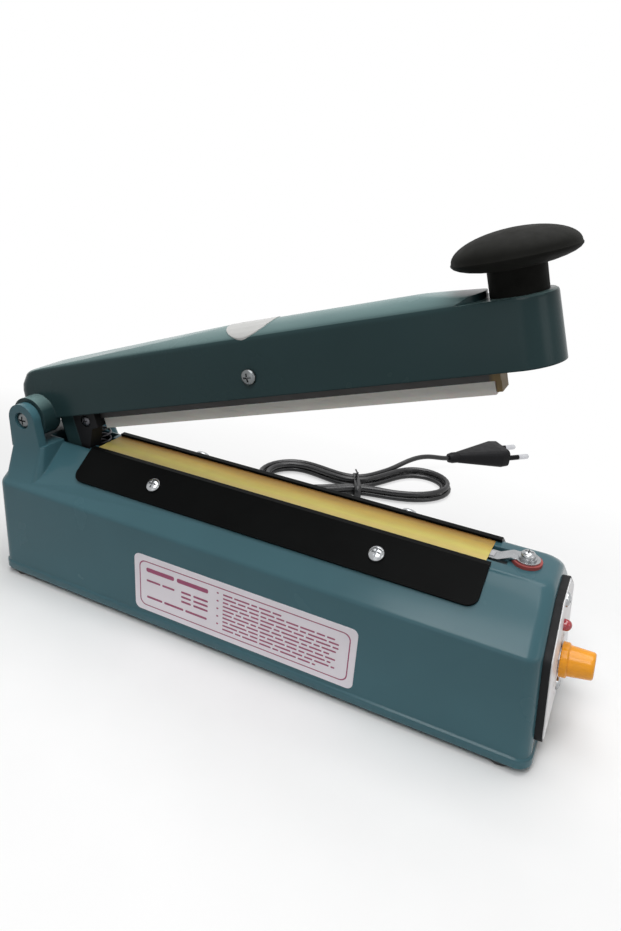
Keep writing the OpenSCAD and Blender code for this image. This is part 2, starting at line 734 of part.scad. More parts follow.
module lamp_holder() color(black) on_front() translate([-4, 0, lamp_height]) out_x() difference() {
    cylinder(r = lamp_radius + 1.5, h = 4);
    translate([0, 0, -cut]) cylinder(r = lamp_radius + running_clearance, h = 4 + cut * 2);
}
module potentiometer() color(grey) on_front() translate([0, 0, timer_height]) out_x() difference() {
    union() {
        translate([0, 0, board_back]) cylinder(r = timer_can_radius, h = -board_back);
        cylinder(r = timer_bush_radius, h = panel_thickness + 2.6);
    }
    translate([0, 0, board_back + 0.8])
        cylinder(r = timer_shaft_radius + running_clearance, h = panel_thickness + 20);
}
module potentiometer_nut() color(steel) on_front() translate([panel_thickness, 0, timer_height]) out_x()
    difference() {
        cylinder(r = timer_nut_radius, h = 2, $fn = 6);
        translate([0, 0, -cut]) cylinder(r = timer_bush_radius + screw_clearance, h = 4);
    }
module timer_board() color([0.1, 0.35, 0.18]) on_front()
    translate([board_back - board_size.x, -board_size.y / 2, board_bottom]) cube(board_size);
module board_parts() on_front() translate([board_back - board_size.x, 0, board_bottom]) {
    edge = board_size.y / 2;
    color([0.1, 0.15, 0.5]) translate([-relay_size.x, 2 - edge, 3]) cube(relay_size);
    color([0.12, 0.12, 0.14]) translate([0, edge - capacitor_radius * 2, capacitor_radius + 4])
        rotate([0, -90, 0]) cylinder(r = capacitor_radius, h = capacitor_length);
    color([0.12, 0.12, 0.14])
        translate([-driver_size.x, edge - 5 - driver_size.y, board_size.z - driver_size.z - 3])
            cube(driver_size);
}
module timer_shaft() color(steel) on_front() translate([board_back + 1, 0, timer_height]) out_x()
    cylinder(r = timer_shaft_radius, h = knob_end - 4 - board_back - 1);
module timer_knob() color(orange) on_front() translate([knob_start, 0, timer_height]) out_x() difference() {
    recess = timer_nut_radius + 0.7;
    union() {
        rotate_extrude() polygon([
            [0, 0], [timer_skirt_radius - 0.3, 0], [timer_skirt_radius, 0.3], [timer_skirt_radius, 2.7],
            [timer_skirt_radius - 0.5, 3.2], [timer_skirt_radius - 0.9, 3.2],
            each fillet([timer_skirt_radius - 0.9, 3.2], [timer_end_radius, timer_knob_length],
                [0, timer_knob_length], 1.2, 5),
            [0, timer_knob_length]]);
        // Raised pointer along the knob's upper side
        translate([-timer_skirt_radius + 0.2, -0.5, 0.5]) cube([2, 1, 2]);
    }
    translate([0, 0, -cut]) cylinder(r = recess, h = 2.6 + cut);
    cylinder(r = timer_shaft_radius + push_clearance, h = timer_knob_length - 3.5);
}

// Transformer
function strap_screw_x(side) = seal_middle + side * (core_size.x / 2 + strap_thickness + strap_foot / 2);
module in_core() in_casing() translate([seal_middle, 0, plate_thickness]) children();
module transformer_core() color(grey) in_core() difference() {
    translate([-core_size.x / 2, -core_size.y / 2, 0]) cube(core_size);
    for (side = [-1, 1]) translate([side * (core_leg / 2 + core_leg / 4), 0, core_size.z / 2])
        cube([core_leg / 2, core_size.y + cut, window_height], center = true);
}
module transformer_coil() color(gold) in_core() translate([0, 0, core_size.z / 2]) difference() {
    slack = fit_gap * 2;
    cube([core_leg + 2 * coil_build, core_size.y + 2 * coil_build, window_height - slack], center = true);
    cube([core_leg + slack / 2, core_size.y + slack / 2, window_height + cut], center = true);
}
module transformer_clamp() color(steel) in_core() difference() {
    outer = core_size.x / 2 + strap_thickness;
    rise = core_size.z + strap_thickness;
    along_y(-8, 8) polygon([
        [-outer - strap_foot, 0], [-outer + strap_thickness, 0],
        [-outer + strap_thickness, core_size.z], [outer - strap_thickness, core_size.z],
        [outer - strap_thickness, 0], [outer + strap_foot, 0],
        [outer + strap_foot, strap_thickness], [outer, strap_thickness],
        [outer, rise], [-outer, rise],
        [-outer, strap_thickness], [-outer - strap_foot, strap_thickness]]);
    for (side = [-1, 1]) translate([strap_screw_x(side) - seal_middle, 0, -cut])
        cylinder(r = small_screw + screw_clearance, h = strap_thickness + cut * 2);
}
module transformer_screws() color(steel) in_core()
    for (side = [-1, 1]) translate([strap_screw_x(side) - seal_middle, 0, strap_thickness])
        pan_screw(small_screw, strap_thickness + plate_thickness + 1, small_head, small_head_height);

// Micro switch, its bracket and the return spring
module switch_body() color(black) in_casing() difference() {
    near = switch_far - switch_size.y;
    union() {
        translate([switch_rear, near, switch_top - switch_size.z]) cube(switch_size);
        for (y = [near + 0.8, near + 7.5]) along_y(y, y + 1) polygon([
            [switch_rear, switch_top - cut], [switch_rear + 5, switch_top - cut],
            [switch_rear + 4, pivot_height + 1], [switch_rear + 1, pivot_height + 1]]);
        translate([pivot_x, near + 0.8, pivot_height]) out_y() cylinder(r = lever_pin_radius, h = 7.7);
    }
    translate([plunger_x, near + 5.15, switch_top - 6])
        cylinder(r = plunger_radius + running_clearance, h = 6 + cut);
    switch_screw_holes(near - cut, switch_size.y + cut * 2, small_screw + screw_clearance);
}
module switch_screw_holes(from, length, r)
    for (x = [switch_rear + 3, switch_rear + 25]) translate([x, from, switch_top - switch_size.z + 4]) out_y()
        cylinder(r = r, h = length);
module switch_bracket() color(steel) in_casing() difference() {
    rear = switch_rear;
    far = bracket_screw_y + 5;
    union() {
        translate([rear, switch_far, bracket_top - bracket_sheet])
            cube([switch_size.x, far - switch_far, bracket_sheet]);
        translate([rear, switch_far, switch_top - switch_size.z])
            cube([switch_size.x, bracket_sheet, bracket_top - switch_top + switch_size.z - cut / 2]);
    }
    switch_screw_holes(switch_far - cut, bracket_sheet + cut * 2, small_screw + screw_clearance);
    for (x = bracket_screw_x) translate([x, bracket_screw_y, bracket_top - bracket_sheet - cut])
        cylinder(r = small_screw + screw_clearance, h = bracket_sheet + cut * 2);
}
module switch_screws() color(steel) in_casing()
    for (x = [switch_rear + 3, switch_rear + 25])
        translate([x, switch_far - switch_size.y, switch_top - switch_size.z + 4]) rotate([90, 0, 0])
            pan_screw(small_screw, switch_size.y + bracket_sheet + 1, small_head, small_head_height);
module bracket_screws() color(steel) in_casing()
    for (x = bracket_screw_x) translate([x, bracket_screw_y, bracket_top - bracket_sheet]) mirror([0, 0, 1])
        pan_screw(small_screw, bracket_sheet + bracket_screw_depth, small_head, small_head_height);
spring_low = bracket_top + spring_wire / 2 + 0.05;
spring_points = [for (i = [0:spring_turns * 8])
    let (share = i / (spring_turns * 8), a = 45 * i)
    [spring_x + spring_radius * cos(a), spring_y + spring_radius * sin(a),
     spring_low + share * (spring_top - spring_wire / 2 - spring_low)]];
module return_spring() color(steel) in_casing() tube(spring_points, spring_wire / 2, 6);
module switch_lever() color(steel) in_casing()
    translate([pivot_x, 0, pivot_height]) rotate([0, -lever_rest, 0]) difference() {
        near = switch_far - switch_size.y + 2;
        union() {
            translate([0, near, lever_lift - lever_thickness]) cube([lever_length, 5.3, lever_thickness]);
            translate([0, near, 0]) out_y() cylinder(r = lever_lift, h = 5.3);
        }
        translate([0, near - cut, 0]) out_y() cylinder(r = lever_pin_radius + running_clearance, h = 8);
    }
module switch_plunger() color(red) in_casing()
    translate([plunger_x, switch_far - switch_size.y + 5.15, switch_top - 4.5])
        cylinder(r = plunger_radius, h = plunger_top - switch_top + 4.5);

// Heater and sealing cloth
module heater_bar() color(brown) in_casing()
    translate([rear_deck + 9.5, -bar_width / 2, casing_height - groove_depth])
        cube([seal_length - 12, bar_width, bar_height]);
module heater_ribbon() color(steel) in_casing()
    translate([rear_deck + 4, -ribbon_width / 2, casing_height - ribbon_thickness])
        cube([seal_length - 2, ribbon_width, ribbon_thickness]);
function on_slope_point(rise, lift) =
    edge_c + rise * [-cos(slope_angle), sin(slope_angle)] + lift * [sin(slope_angle), cos(slope_angle)];
function ridge_corner(lift) = inset_corner(edge_c, edge_r, edge_t, -lift);
module sealing_cloth() color(gold) in_casing() difference() {
    half = [on_slope_point(cloth_low, 0), edge_r];
    over = [on_slope_point(cloth_low, cloth_thickness), ridge_corner(cloth_thickness)];
    translate([cloth_rear, 0, 0]) along_x(cloth_front - cloth_rear)
        polygon([each half, each mirrored(half), each [for (p = over) [-p.x, p.y]], over[1], over[0]]);
    for (side = [-1, 1], x = clamp_screw_x) on_slope(side) translate([x, clamp_screw_rise, -cut])
        cylinder(r = clamp_screw_radius + screw_clearance, h = cut * 2);
}
module clamp_plate(side) color(black) in_casing() difference() {
    low = cloth_thickness;
    high = cloth_thickness + clamp_thickness;
    lip_y = ridge_width / 2 - clamp_lip;
    outline = [
        on_slope_point(clamp_low, low), ridge_corner(low), [lip_y, casing_height + low],
        [lip_y, casing_height + high], ridge_corner(high), on_slope_point(clamp_low, high)];
    intersection() {
        translate([cloth_rear, 0, 0]) along_x(clamp_length)
            polygon([for (p = outline) [side * p.x, p.y]]);
        on_slope(side) translate([cloth_rear, clamp_low, -cut]) linear_extrude(cut * 9)
            polygon([
                each fillet([0, clamp_reach], [0, 0], [clamp_length, 0], clamp_corner, 8),
                each fillet([0, 0], [clamp_length, 0], [clamp_length, clamp_reach], clamp_corner, 8),
                [clamp_length, clamp_reach * 2], [0, clamp_reach * 2]]);
    }
    for (x = clamp_screw_x) on_slope(side) translate([x, clamp_screw_rise, -cut])
        cylinder(r = clamp_screw_radius + screw_clearance, h = cut * 6);
}
module front_clamp_plate() clamp_plate(-1);
module rear_clamp_plate() clamp_plate(1);
module clamp_screws() color(steel) in_casing()
    for (side = [-1, 1], x = clamp_screw_x) on_slope(side)
        translate([x, clamp_screw_rise, cloth_thickness + clamp_thickness])
            pan_screw(clamp_screw_radius, 8, 3.6, 2.4);

// Terminals
module front_terminal() color(steel) in_casing() translate([0, 0, casing_height]) difference() {
    low = -ribbon_thickness - clip_thickness;
    high = washer_thickness;
    union() {
        along_y(-clip_half, clip_half) polygon([
            [cloth_front - 2, low], [cloth_front + 4, low], [terminal_x - 6, high], [terminal_x, high],
            [terminal_x, high + clip_thickness], [terminal_x - 6.3, high + clip_thickness],
            [cloth_front + 3.7, low + clip_thickness], [cloth_front - 2, low + clip_thickness]]);
        translate([terminal_x, 0, high]) cylinder(r = 5.2, h = clip_thickness);
    }
    translate([terminal_x, 0, 0]) cylinder(r = terminal_screw_radius + screw_clearance, h = 4);
}
module rear_terminal() color(steel) in_casing() difference() {
    top = casing_height - ribbon_thickness;
    foot = casing_height - rail_depth - 4 - washer_thickness;
    leg = rear_deck + 3.5;
    union() {
        along_y(-clip_half, clip_half) polygon([
            [leg, top], [leg, foot - clip_thickness], [rear_terminal_x, foot - clip_thickness],
            [rear_terminal_x, foot], [leg + clip_thickness, foot],
            [leg + clip_thickness, top - clip_thickness], [rear_deck + 8, top - clip_thickness],
            [rear_deck + 8, top]]);
        translate([rear_terminal_x, 0, foot - clip_thickness]) cylinder(r = 5.2, h = clip_thickness);
    }
    translate([rear_terminal_x, 0, foot - 3]) cylinder(r = terminal_screw_radius + screw_clearance, h = 4);
}
module fibre_washers() color(red) in_casing()
    for (p = [[terminal_x, casing_height],
              [rear_terminal_x, casing_height - rail_depth - 4 - washer_thickness]])
        translate([p.x, 0, p.y]) difference() {
            cylinder(r = washer_radius, h = washer_thickness);
            translate([0, 0, -cut])
                cylinder(r = terminal_screw_radius + screw_clearance, h = washer_thickness + cut * 2);
        }
module washer_screw(length) {
    cylinder(r = terminal_ring, h = 0.8);
    translate([0, 0, 0.8]) pan_screw(terminal_screw_radius, length, terminal_head, 2.4);
}
module terminal_screws() color(steel) in_casing() {
    stack = washer_thickness + clip_thickness;
    translate([terminal_x, 0, casing_height + stack]) washer_screw(stack + 5);
    translate([rear_terminal_x, 0, casing_height - rail_depth - 4 - stack]) mirror([0, 0, 1])
        washer_screw(stack + 5);
}

// Hinge
module hinge_screws() color(steel) in_casing()
    both_sides() translate([hinge_setback, ear_outer - ear_thickness / 2, hinge_height]) out_y()
        pan_screw(hinge_screw_radius, ear_outer - ear_thickness / 2 - arm_width / 2 + arm_wall + 1.5,
            hinge_head, 2.2);

// Rating label on the lower wall
module rating_label() color(white) in_casing()
    translate([seal_middle + 4 - label_length / 2, -edge_b.x, 0]) rotate([-wall_draft, 0, 0])
        along_y(-0.3, 0) polygon(rounded([
            [0, label_bottom], [label_length, label_bottom],
            [label_length, label_bottom + label_height], [0, label_bottom + label_height]], 3));

// Arm
module arm_form(layers, inset) hull()
    for (p = layers) {
        heel = min(heel_corner, p.x);
        z = p.y > 0 ? p.y - layer_height : p.y;
        rise = max(0, z - arm_side + inset);
        tail = -arm_tail + inset + drawn_back(z, arm_side - inset, heel_radius) + rise * crown_rear_ramp;
        for (side = [-1, 1]) translate([tail + heel, side * (p.x - heel), z])
            cylinder(r = heel, h = layer_height, $fn = hull_fn);
        translate([arm_front_centre - rise * crown_front_ramp, 0, z])
            cylinder(r = p.x, h = layer_height, $fn = hull_fn * 2);
    }
heel_layers = [for (a = [0, 15, 30]) let (n = arm_side - heel_radius * (1 - sin(a))) [arm_side_half(n), n]];
module arm_outside() arm_form([each arm_section(0), each heel_layers], 0);
// Flat seat of the press knob, cut round the crown's rounded end
module knob_seat() translate([crown_end - arm_width / 2, 0, arm_side]) linear_extrude(arm_top) difference() {
    translate([0, -arm_width]) square(arm_width * 2);
    circle(d = arm_width);
}
module arm_casting() color(teal) in_arm() difference() {
    union() {
        difference() {
            arm_outside();
            knob_seat();
            translate([0, 0, -cut]) arm_form(arm_section(arm_wall), arm_wall);
        }
        both_sides() translate([0, arm_width / 2 - arm_wall, 0]) out_y()
            cylinder(r = knuckle_radius, h = ear_gap / 2 - fit_gap - arm_width / 2 + arm_wall);
        // Pillar under the press knob, tongue and web for the trigger, and seat of the return spring
        translate([arm_front_centre, 0, 2]) cylinder(r = 6, h = arm_side - 2 - arm_wall / 4);
        translate([tongue_rear, trigger_near, -tongue_drop])
            cube([trigger_rear - tongue_rear, web_far - trigger_near, tongue_drop + arm_side]);
        translate([tongue_rear, trigger_far, -strip_seat - 4])
            cube([trigger_front - tongue_rear, web_thickness, strip_seat + 4 + arm_side]);
        translate([spring_u, spring_y, -spring_seat_drop])
            cylinder(r = spring_seat_radius, h = spring_seat_drop + arm_side - 0.5);
    }
    both_sides() out_y() cylinder(r = hinge_screw_radius + running_clearance, h = ear_gap);
    translate([arm_front_centre, 0, 0]) cylinder(r = cross_screw_radius + screw_clearance, h = arm_top + cut);
    translate([arm_middle, -arm_width, cross_screw_height]) out_y()
        cylinder(r = cross_screw_radius + screw_clearance, h = arm_width * 2);
    translate([trigger_screw_u, trigger_far - cut, trigger_screw_n]) out_y()
        cylinder(r = small_screw + screw_clearance, h = web_thickness + cut * 2);
}
module press_knob() color(black) in_arm() translate([arm_front_centre, 0, arm_side]) difference() {
    rim = disc_diameter / 2;
    stem = stem_diameter / 2;
    belly = 5;
    root = asin(stem / rim);
    // The disc's underside bellies down to the stem
    rotate_extrude() polygon([
        [0, 0], [stem, 0],
        each [for (share = [0:0.2:1])
            let (a = root + (84 - root) * share) [rim * sin(a), stem_length - belly * cos(a)]],
        [rim, stem_length], [rim - 0.3, stem_length + 0.6],
        each [for (a = [6:6:84]) [(rim - 0.3) * cos(a), stem_length + 0.6 + dome_height * sin(a)]],
        [0, stem_length + 0.6 + dome_height]]);
    translate([0, 0, -cut]) cylinder(r = cross_screw_radius + screw_clearance, h = 12 + cut);
}
module knob_screw() color(steel) in_arm() translate([arm_front_centre, 0, 2]) mirror([0, 0, 1])
    pan_screw(cross_screw_radius, arm_side - 2 + 10, 3.6, 2.4);
module strip_holder() color(brown) in_arm() difference() {
    half = strip_width / 2 + 1;
    lug = arm_width / 2 - arm_wall - 0.2;
    union() {
        translate([strip_rear - 1, -half, -strip_seat])
            cube([holder_front - strip_rear + 1, half * 2, strip_seat + 2]);
        translate([strip_front + fit_gap, -half + 1, -strip_drop + 1])
            cube([holder_front - strip_front - fit_gap, half * 2 - 2, strip_height]);
        translate([arm_middle - 10, -lug, 0]) cube([20, lug * 2, cross_screw_height + 4]);
    }
    translate([arm_middle, -arm_width, cross_screw_height]) out_y()
        cylinder(r = cross_screw_radius + screw_clearance, h = arm_width * 2);
}
module silicone_strip() color([0.55, 0.53, 0.48]) in_arm()
    translate([strip_rear, -strip_width / 2, -strip_drop])
        cube([strip_front - strip_rear, strip_width, strip_height]);
module cross_screw() color(steel) in_arm() translate([arm_middle, -cross_seat, cross_screw_height])
    rotate([90, 0, 0]) pan_screw(cross_screw_radius, cross_seat * 2 + 4, cross_head, 2.2);
module cross_nut() color(steel) in_arm() translate([arm_middle, cross_seat, cross_screw_height]) out_y()
    difference() {
        cylinder(r = 3.8, h = 3, $fn = 6);
        translate([0, 0, -cut]) cylinder(r = cross_screw_radius + screw_clearance, h = 6);
    }
module switch_trigger() color(black) in_arm() difference() {
    // The front lower corner is cut away so that it clears the heater's end
    along_y(trigger_near, trigger_far) polygon([
        [trigger_rear, cut - arm_drop], [trigger_rear, -trigger_drop], [trigger_tip, -trigger_drop],
        [trigger_tip + 6, -strip_drop + 1], [trigger_front, -strip_drop + 1.7],
        [trigger_front, cut - arm_drop]]);
    translate([trigger_screw_u, trigger_near - cut, trigger_screw_n]) out_y()
        cylinder(r = small_screw + screw_clearance, h = 12);
    translate([trigger_screw_u, trigger_near - cut, trigger_screw_n]) out_y()
        cylinder(r = small_head + 0.2, h = trigger_sink + cut);
}
module trigger_screw() color(grey) in_arm()
    translate([trigger_screw_u, trigger_near + trigger_sink, trigger_screw_n]) rotate([90, 0, 0])
        pan_screw(small_screw, web_far - trigger_near - trigger_sink, small_head, small_head_height);
module round_sticker() color(white) in_arm() difference() {
    intersection() {
        translate([arm_middle, sticker_y, arm_side - arm_edge_radius])
            cylinder(d = sticker_diameter, h = 20);
        arm_form([for (p = arm_section(0)) p + sticker_sheet * [1, 1]], -sticker_sheet);
    }
    arm_outside();
}

// Mains cord
module strain_relief() color(black)
    translate([gland_x, gland_seat, gland_height]) out_y() difference() {
        union() {
            translate([0, 0, -casing_wall - 2.2]) cylinder(r = gland_flange, h = 1.6);
            translate([0, 0, -casing_wall - 1]) cylinder(r = gland_hole - 0.2, h = casing_wall + 2);
            rotate_extrude() polygon([
                [0, 0], [gland_flange, 0], [gland_flange, 2.5], [4.6, 3.5],
                [cord_radius + 0.9, gland_length], [0, gland_length]]);
        }
        for (z = [8:5:gland_length - 5]) translate([0, 0, z]) difference() {
            cylinder(r = 8, h = 1.6);
            translate([0, 0, -cut]) cylinder(r = cord_radius + 0.7, h = 1.6 + cut * 2);
        }
    }
module cord_lead() color(black) tube(lead_points, cord_radius, 8);
module cord_hank() color(black) tube(hank_points, cord_radius, 6);
module cord_tail() color(black) tube(tail_points, cord_radius, 8);
module hank_tie() color(black)
    translate([hank_centre.x, hank_centre.y, 0]) rotate([0, 0, hank_yaw]) {
        half = hank_waist + cord_radius + 0.4;
        rise = hank_low + hank_layer + cord_radius + 0.4;
        difference() {
            along_x_centred(tie_width) translate([-half - tie_thickness, 0])
                square([2 * (half + tie_thickness), rise + tie_thickness]);
            along_x_centred(tie_width + cut * 2) translate([-half, tie_thickness])
                square([2 * half, rise - tie_thickness]);
        }
        // The tie's twisted ends stand up
        translate([-tie_width / 2, -1, rise]) cube([1.2, 2, tie_thickness + 7]);
    }
module along_x_centred(length) translate([-length / 2, 0, 0]) along_x(length) children();
module plug_body() color(black) in_plug() difference() {
    union() {
        out_x() rotate_extrude()
            polygon([[0, 0], [cord_radius + 1.6, 0], [4.2, 3], [4.2, 10], [0, 10]]);
        hull() for (p = plug_layers) translate([p.x, 0, 0]) along_x(layer_height)
            polygon(rounded([[-p.y, -p.z] / 2, [p.y, -p.z] / 2, [p.y, p.z] / 2, [-p.y, p.z] / 2], p.z * 0.3));
    }
    for (y = [-1, 1]) translate([plug_length - pin_root, y * pin_spacing / 2, 0]) out_x()
        cylinder(r = pin_root_radius + push_clearance, h = pin_root + cut);
}
module plug_pins() color(steel) in_plug()
    for (y = [-1, 1]) translate([plug_length, y * pin_spacing / 2, 0]) out_x() {
        translate([0, 0, -pin_root]) cylinder(r = pin_root_radius, h = pin_root + cut);
        cylinder(r = pin_radius, h = pin_length - 1);
        translate([0, 0, pin_length - 1]) cylinder(r1 = pin_radius, r2 = pin_radius * 0.6, h = 1);
    }

union() {  // cord_hank
    echo(hank_least_gap = least_gap(along_path(hank_points, 4), 24, cord_diameter));
    echo(cord_length = path_length(lead_points) + path_length(hank_points) + path_length(tail_points));
}
echo(spring_least_gap = least_gap(along_path(spring_points, 2), 10, spring_wire));  // return_spring

base_casing();
bottom_plate();
rubber_feet();
bottom_screws();
end_panel();
panel_face();
panel_screws();
indicator_lamp();
lamp_holder();
potentiometer();
potentiometer_nut();
timer_board();
board_parts();
transformer_core();
transformer_coil();
transformer_clamp();
transformer_screws();
switch_body();
switch_bracket();
switch_screws();
bracket_screws();
return_spring();
heater_bar();
heater_ribbon();
sealing_cloth();
front_clamp_plate();
rear_clamp_plate();
clamp_screws();
front_terminal();
rear_terminal();
fibre_washers();
terminal_screws();
hinge_screws();
rating_label();
strain_relief();
cord_lead();
cord_hank();
cord_tail();
hank_tie();
plug_body();
plug_pins();
arm_casting();
press_knob();
knob_screw();
strip_holder();
silicone_strip();
cross_screw();
cross_nut();
switch_trigger();
trigger_screw();
round_sticker();
timer_knob();
timer_shaft();
switch_lever();
switch_plunger();
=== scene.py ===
# Impulse sealer: camera, cord, soft pieces, prints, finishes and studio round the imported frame
import itertools
import json
import math

import bmesh
import bpy
from mathutils import Matrix, Vector


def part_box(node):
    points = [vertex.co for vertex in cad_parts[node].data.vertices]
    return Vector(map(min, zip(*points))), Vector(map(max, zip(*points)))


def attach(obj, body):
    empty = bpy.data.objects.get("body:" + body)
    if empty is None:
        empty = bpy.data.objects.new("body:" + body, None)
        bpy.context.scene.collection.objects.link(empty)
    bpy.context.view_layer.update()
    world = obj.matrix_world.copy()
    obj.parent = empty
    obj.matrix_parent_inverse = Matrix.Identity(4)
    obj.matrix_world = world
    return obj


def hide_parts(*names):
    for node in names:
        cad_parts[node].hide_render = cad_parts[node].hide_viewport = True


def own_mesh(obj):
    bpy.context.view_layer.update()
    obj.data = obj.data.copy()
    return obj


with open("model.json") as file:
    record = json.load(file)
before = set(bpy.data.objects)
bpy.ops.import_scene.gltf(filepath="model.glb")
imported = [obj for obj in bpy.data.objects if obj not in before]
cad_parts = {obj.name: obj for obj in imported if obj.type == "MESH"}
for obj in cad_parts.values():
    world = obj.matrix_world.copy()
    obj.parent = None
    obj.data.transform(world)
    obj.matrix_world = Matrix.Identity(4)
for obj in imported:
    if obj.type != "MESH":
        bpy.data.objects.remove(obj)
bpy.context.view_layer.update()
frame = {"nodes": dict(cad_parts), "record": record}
scene = bpy.context.scene
MM = 0.001

# Camera, solved from the photograph's 621 x 931 frame: lengths in mm, focal length in pixels
IMAGE_HEIGHT = 931
SENSOR = 36
FOCAL_PX = 702.8
EYE = Vector((134.48, -261.51, 224.77))
FORWARD = Vector((-0.37803, 0.823091, -0.42381)).normalized()
RIGHT = Vector((0.894545, 0.442682, 0.061827)).normalized()
CLIP_START = 10
CLIP_END = 100000

# Casing sizes that the pieces here sit on, in mm, as in the part
REAR_X = -146.5484
FOOT = 3
CASING_LENGTH = 282
WALL_FOOT = 38.75
CREASE = Vector((37.5, 51))
RIDGE = Vector((12.25, 69.6))
WALL_DRAFT = math.atan2(WALL_FOOT - CREASE.x, CREASE.y)
CLOTH_REAR = 43.5
CLOTH_LENGTH = 202.5
FRONT_LEAN = math.radians(6)
PANEL_FACE = 3.4
TIMER_HEIGHT = 29

# Arm at rest: its hinge, its direction and the strip's front end along it, in mm, as in the part
HINGE = Vector((REAR_X + 12, 0, FOOT + 83.2))
OPEN_ANGLE = math.radians(17)
ARM_ALONG = Vector((math.cos(OPEN_ANGLE), 0, math.sin(OPEN_ANGLE)))
STRIP_FRONT = 232

# Cord sizes and route, in mm, as in the part but in finer steps
CORD_DIAMETER = 3.6
CORD_ROUNDNESS = 4
GLAND_END = Vector((-100, 68.603, 15))
LEAD = [(-100, 76, 14.6), (-99.7, 84, 12.6), (-98.9, 92, 9.5), (-97.5, 100, 6.5), (-95.4, 108, 4.4),
        (-92.9, 116.5, 3.3)]
LEAD_RUN_IN = 10
LEAD_STEPS = 6
HANK_CENTRE = Vector((-20, 154, 0))
HANK_YAW = math.radians(27)
HANK_REACH = 70
HANK_PINCH = 0.4
HANK_BEND = 125
HANK_WAIST = 10.5
HANK_BULGE = 44
HANK_STEP = 4.9
HANK_LOW = 2.8
HANK_LAYER = 4.1
HANK_LOOPS = 3
HANK_TURNS = HANK_LOOPS + 8 / 24
HANK_LIFT_TURN = 0.5
HANK_IN = (HANK_TURNS - HANK_LIFT_TURN) / 2
POINTS_PER_TURN = 72
TAIL_PULL = (70, 50)
TAIL_LIFT = 4
TAIL_STEPS = 24
PLUG_ENTRY = Vector((23.5, 232.8, 7.2))
PLUG_YAW = math.radians(45)
PLUG_ALONG = Vector((math.cos(PLUG_YAW), math.sin(PLUG_YAW), 0))
PIN_SLEEVE = 56.5

# Small steps for the direction of the hank's curve, in radians and in turns
ANGLE_STEP = 0.01
TURN_STEP = 0.002


# Meshes and objects
def add_object(name, data):
    made = bpy.data.objects.new(name, data)
    scene.collection.objects.link(made)
    return made


def mesh_object(name, verts, faces, smooth=True):
    """Object from vertices in mm and faces, which are turned to face outward."""
    mesh = bpy.data.meshes.new(name)
    mesh.from_pydata([Vector(v) * MM for v in verts], [], faces)
    bm = bmesh.new()
    bm.from_mesh(mesh)
    bmesh.ops.recalc_face_normals(bm, faces=bm.faces)
    bm.to_mesh(mesh)
    bm.free()
    for polygon in mesh.polygons:
        polygon.use_smooth = smooth
    return add_object(name, mesh)


def place(piece, body, material):
    """Give a piece its finish and the body that it rides on."""
    piece.data.materials.clear()
    piece.data.materials.append(material)
    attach(piece, body)
    return piece


def tube_parts(points, radius, sides):
    """Vertices and faces of a tube along points, its rings carried along without twist."""
    count = len(points)
    verts = []
    side = None
    for i, point in enumerate(points):
        along = (points[min(i + 1, count - 1)] - points[max(i - 1, 0)]).normalized()
        side = side or along.orthogonal().normalized()
        side = (side - along * side.dot(along)).normalized()
        rise = along.cross(side)
        for k in range(sides):
            angle = 2 * math.pi * k / sides
            verts.append(point + radius * (math.cos(angle) * side + math.sin(angle) * rise))
    faces = []
    for i in range(count - 1):
        for k in range(sides):
            a = i * sides
            b = a + sides
            faces.append((a + k, a + (k + 1) % sides, b + (k + 1) % sides, b + k))
    faces.append(tuple(range(sides)))
    faces.append(tuple(range((count - 1) * sides, count * sides)))
    return verts, faces


def join_parts(parts):
    """Vertices and faces of several parts as those of one mesh."""
    verts, faces = [], []
    for part_verts, part_faces in parts:
        start = len(verts)
        verts += part_verts
        faces += [tuple(start + i for i in face) for face in part_faces]
    return verts, faces


def smooth_curve(points, steps):
    """Catmull-Rom curve through points, with so many steps between neighbours."""
    made = []
    for i in range(len(points) - 1):
        p1, p2 = points[i], points[i + 1]
        p0 = points[i - 1] if i else p1 - (p2 - p1)
        p3 = points[i + 2] if i + 2 < len(points) else p2 + (p2 - p1)
        for step in range(steps):
            t = step / steps
            made.append(0.5 * (2 * p1 + (p2 - p0) * t + (2 * p0 - 5 * p1 + 4 * p2 - p3) * t ** 2
                               + (3 * p1 - p0 - 3 * p2 + p3) * t ** 3))
    return made + [points[-1]]


def smoothstep(share):
    """Eased share, level at 0 and at 1."""
    share = min(1.0, max(0.0, share))
    return share * share * (3 - 2 * share)


def rounded_box(width, height, radius, steps=6):
    """Outline points of a rounded rectangle with its lower left corner at the origin."""
    points = []
    for cx, cy, start in ((width - radius, radius, -90), (width - radius, height - radius, 0),
                          (radius, height - radius, 90), (radius, radius, 180)):
        for i in range(steps + 1):
            angle = math.radians(start + 90 * i / steps)
            points.append((cx + radius * math.cos(angle), cy + radius * math.sin(angle)))
    return points


# Shader nodes: most of a noise lies in its middle range, gloss patches are finer than those of tone, and
# Blender's wave texture turns by 20 radians in a unit
NOISE_LOW = 0.3
NOISE_HIGH = 0.7
TONE_DETAIL = 4.0
PATCH_DETAIL = 3.0
GRAIN_DETAIL = 2.0
GLOSS_SHARE = 0.45
BEVEL_SAMPLES = 4
WAVE_RADIANS = 20
WAVE_DISTORTION = 0.15
NO_STRETCH = (1, 1, 1)


def put(tree, socket, value):
    """Link a value that comes from another node to a socket, or set a plain one there."""
    if isinstance(value, bpy.types.NodeSocket):
        tree.links.new(value, socket)
    else:
        socket.default_value = value


def node(tree, kind, settings=None, **inputs):
    made = tree.nodes.new("ShaderNode" + kind)
    for name, value in (settings or {}).items():
        setattr(made, name, value)
    for name, value in inputs.items():
        put(tree, made.inputs[name.replace("_", " ")], value)
    return made


def math_node(tree, operation, *values):
    made = node(tree, "Math", {"operation": operation})
    for socket, value in zip(made.inputs, values):
        put(tree, socket, value)
    return made.outputs["Value"]


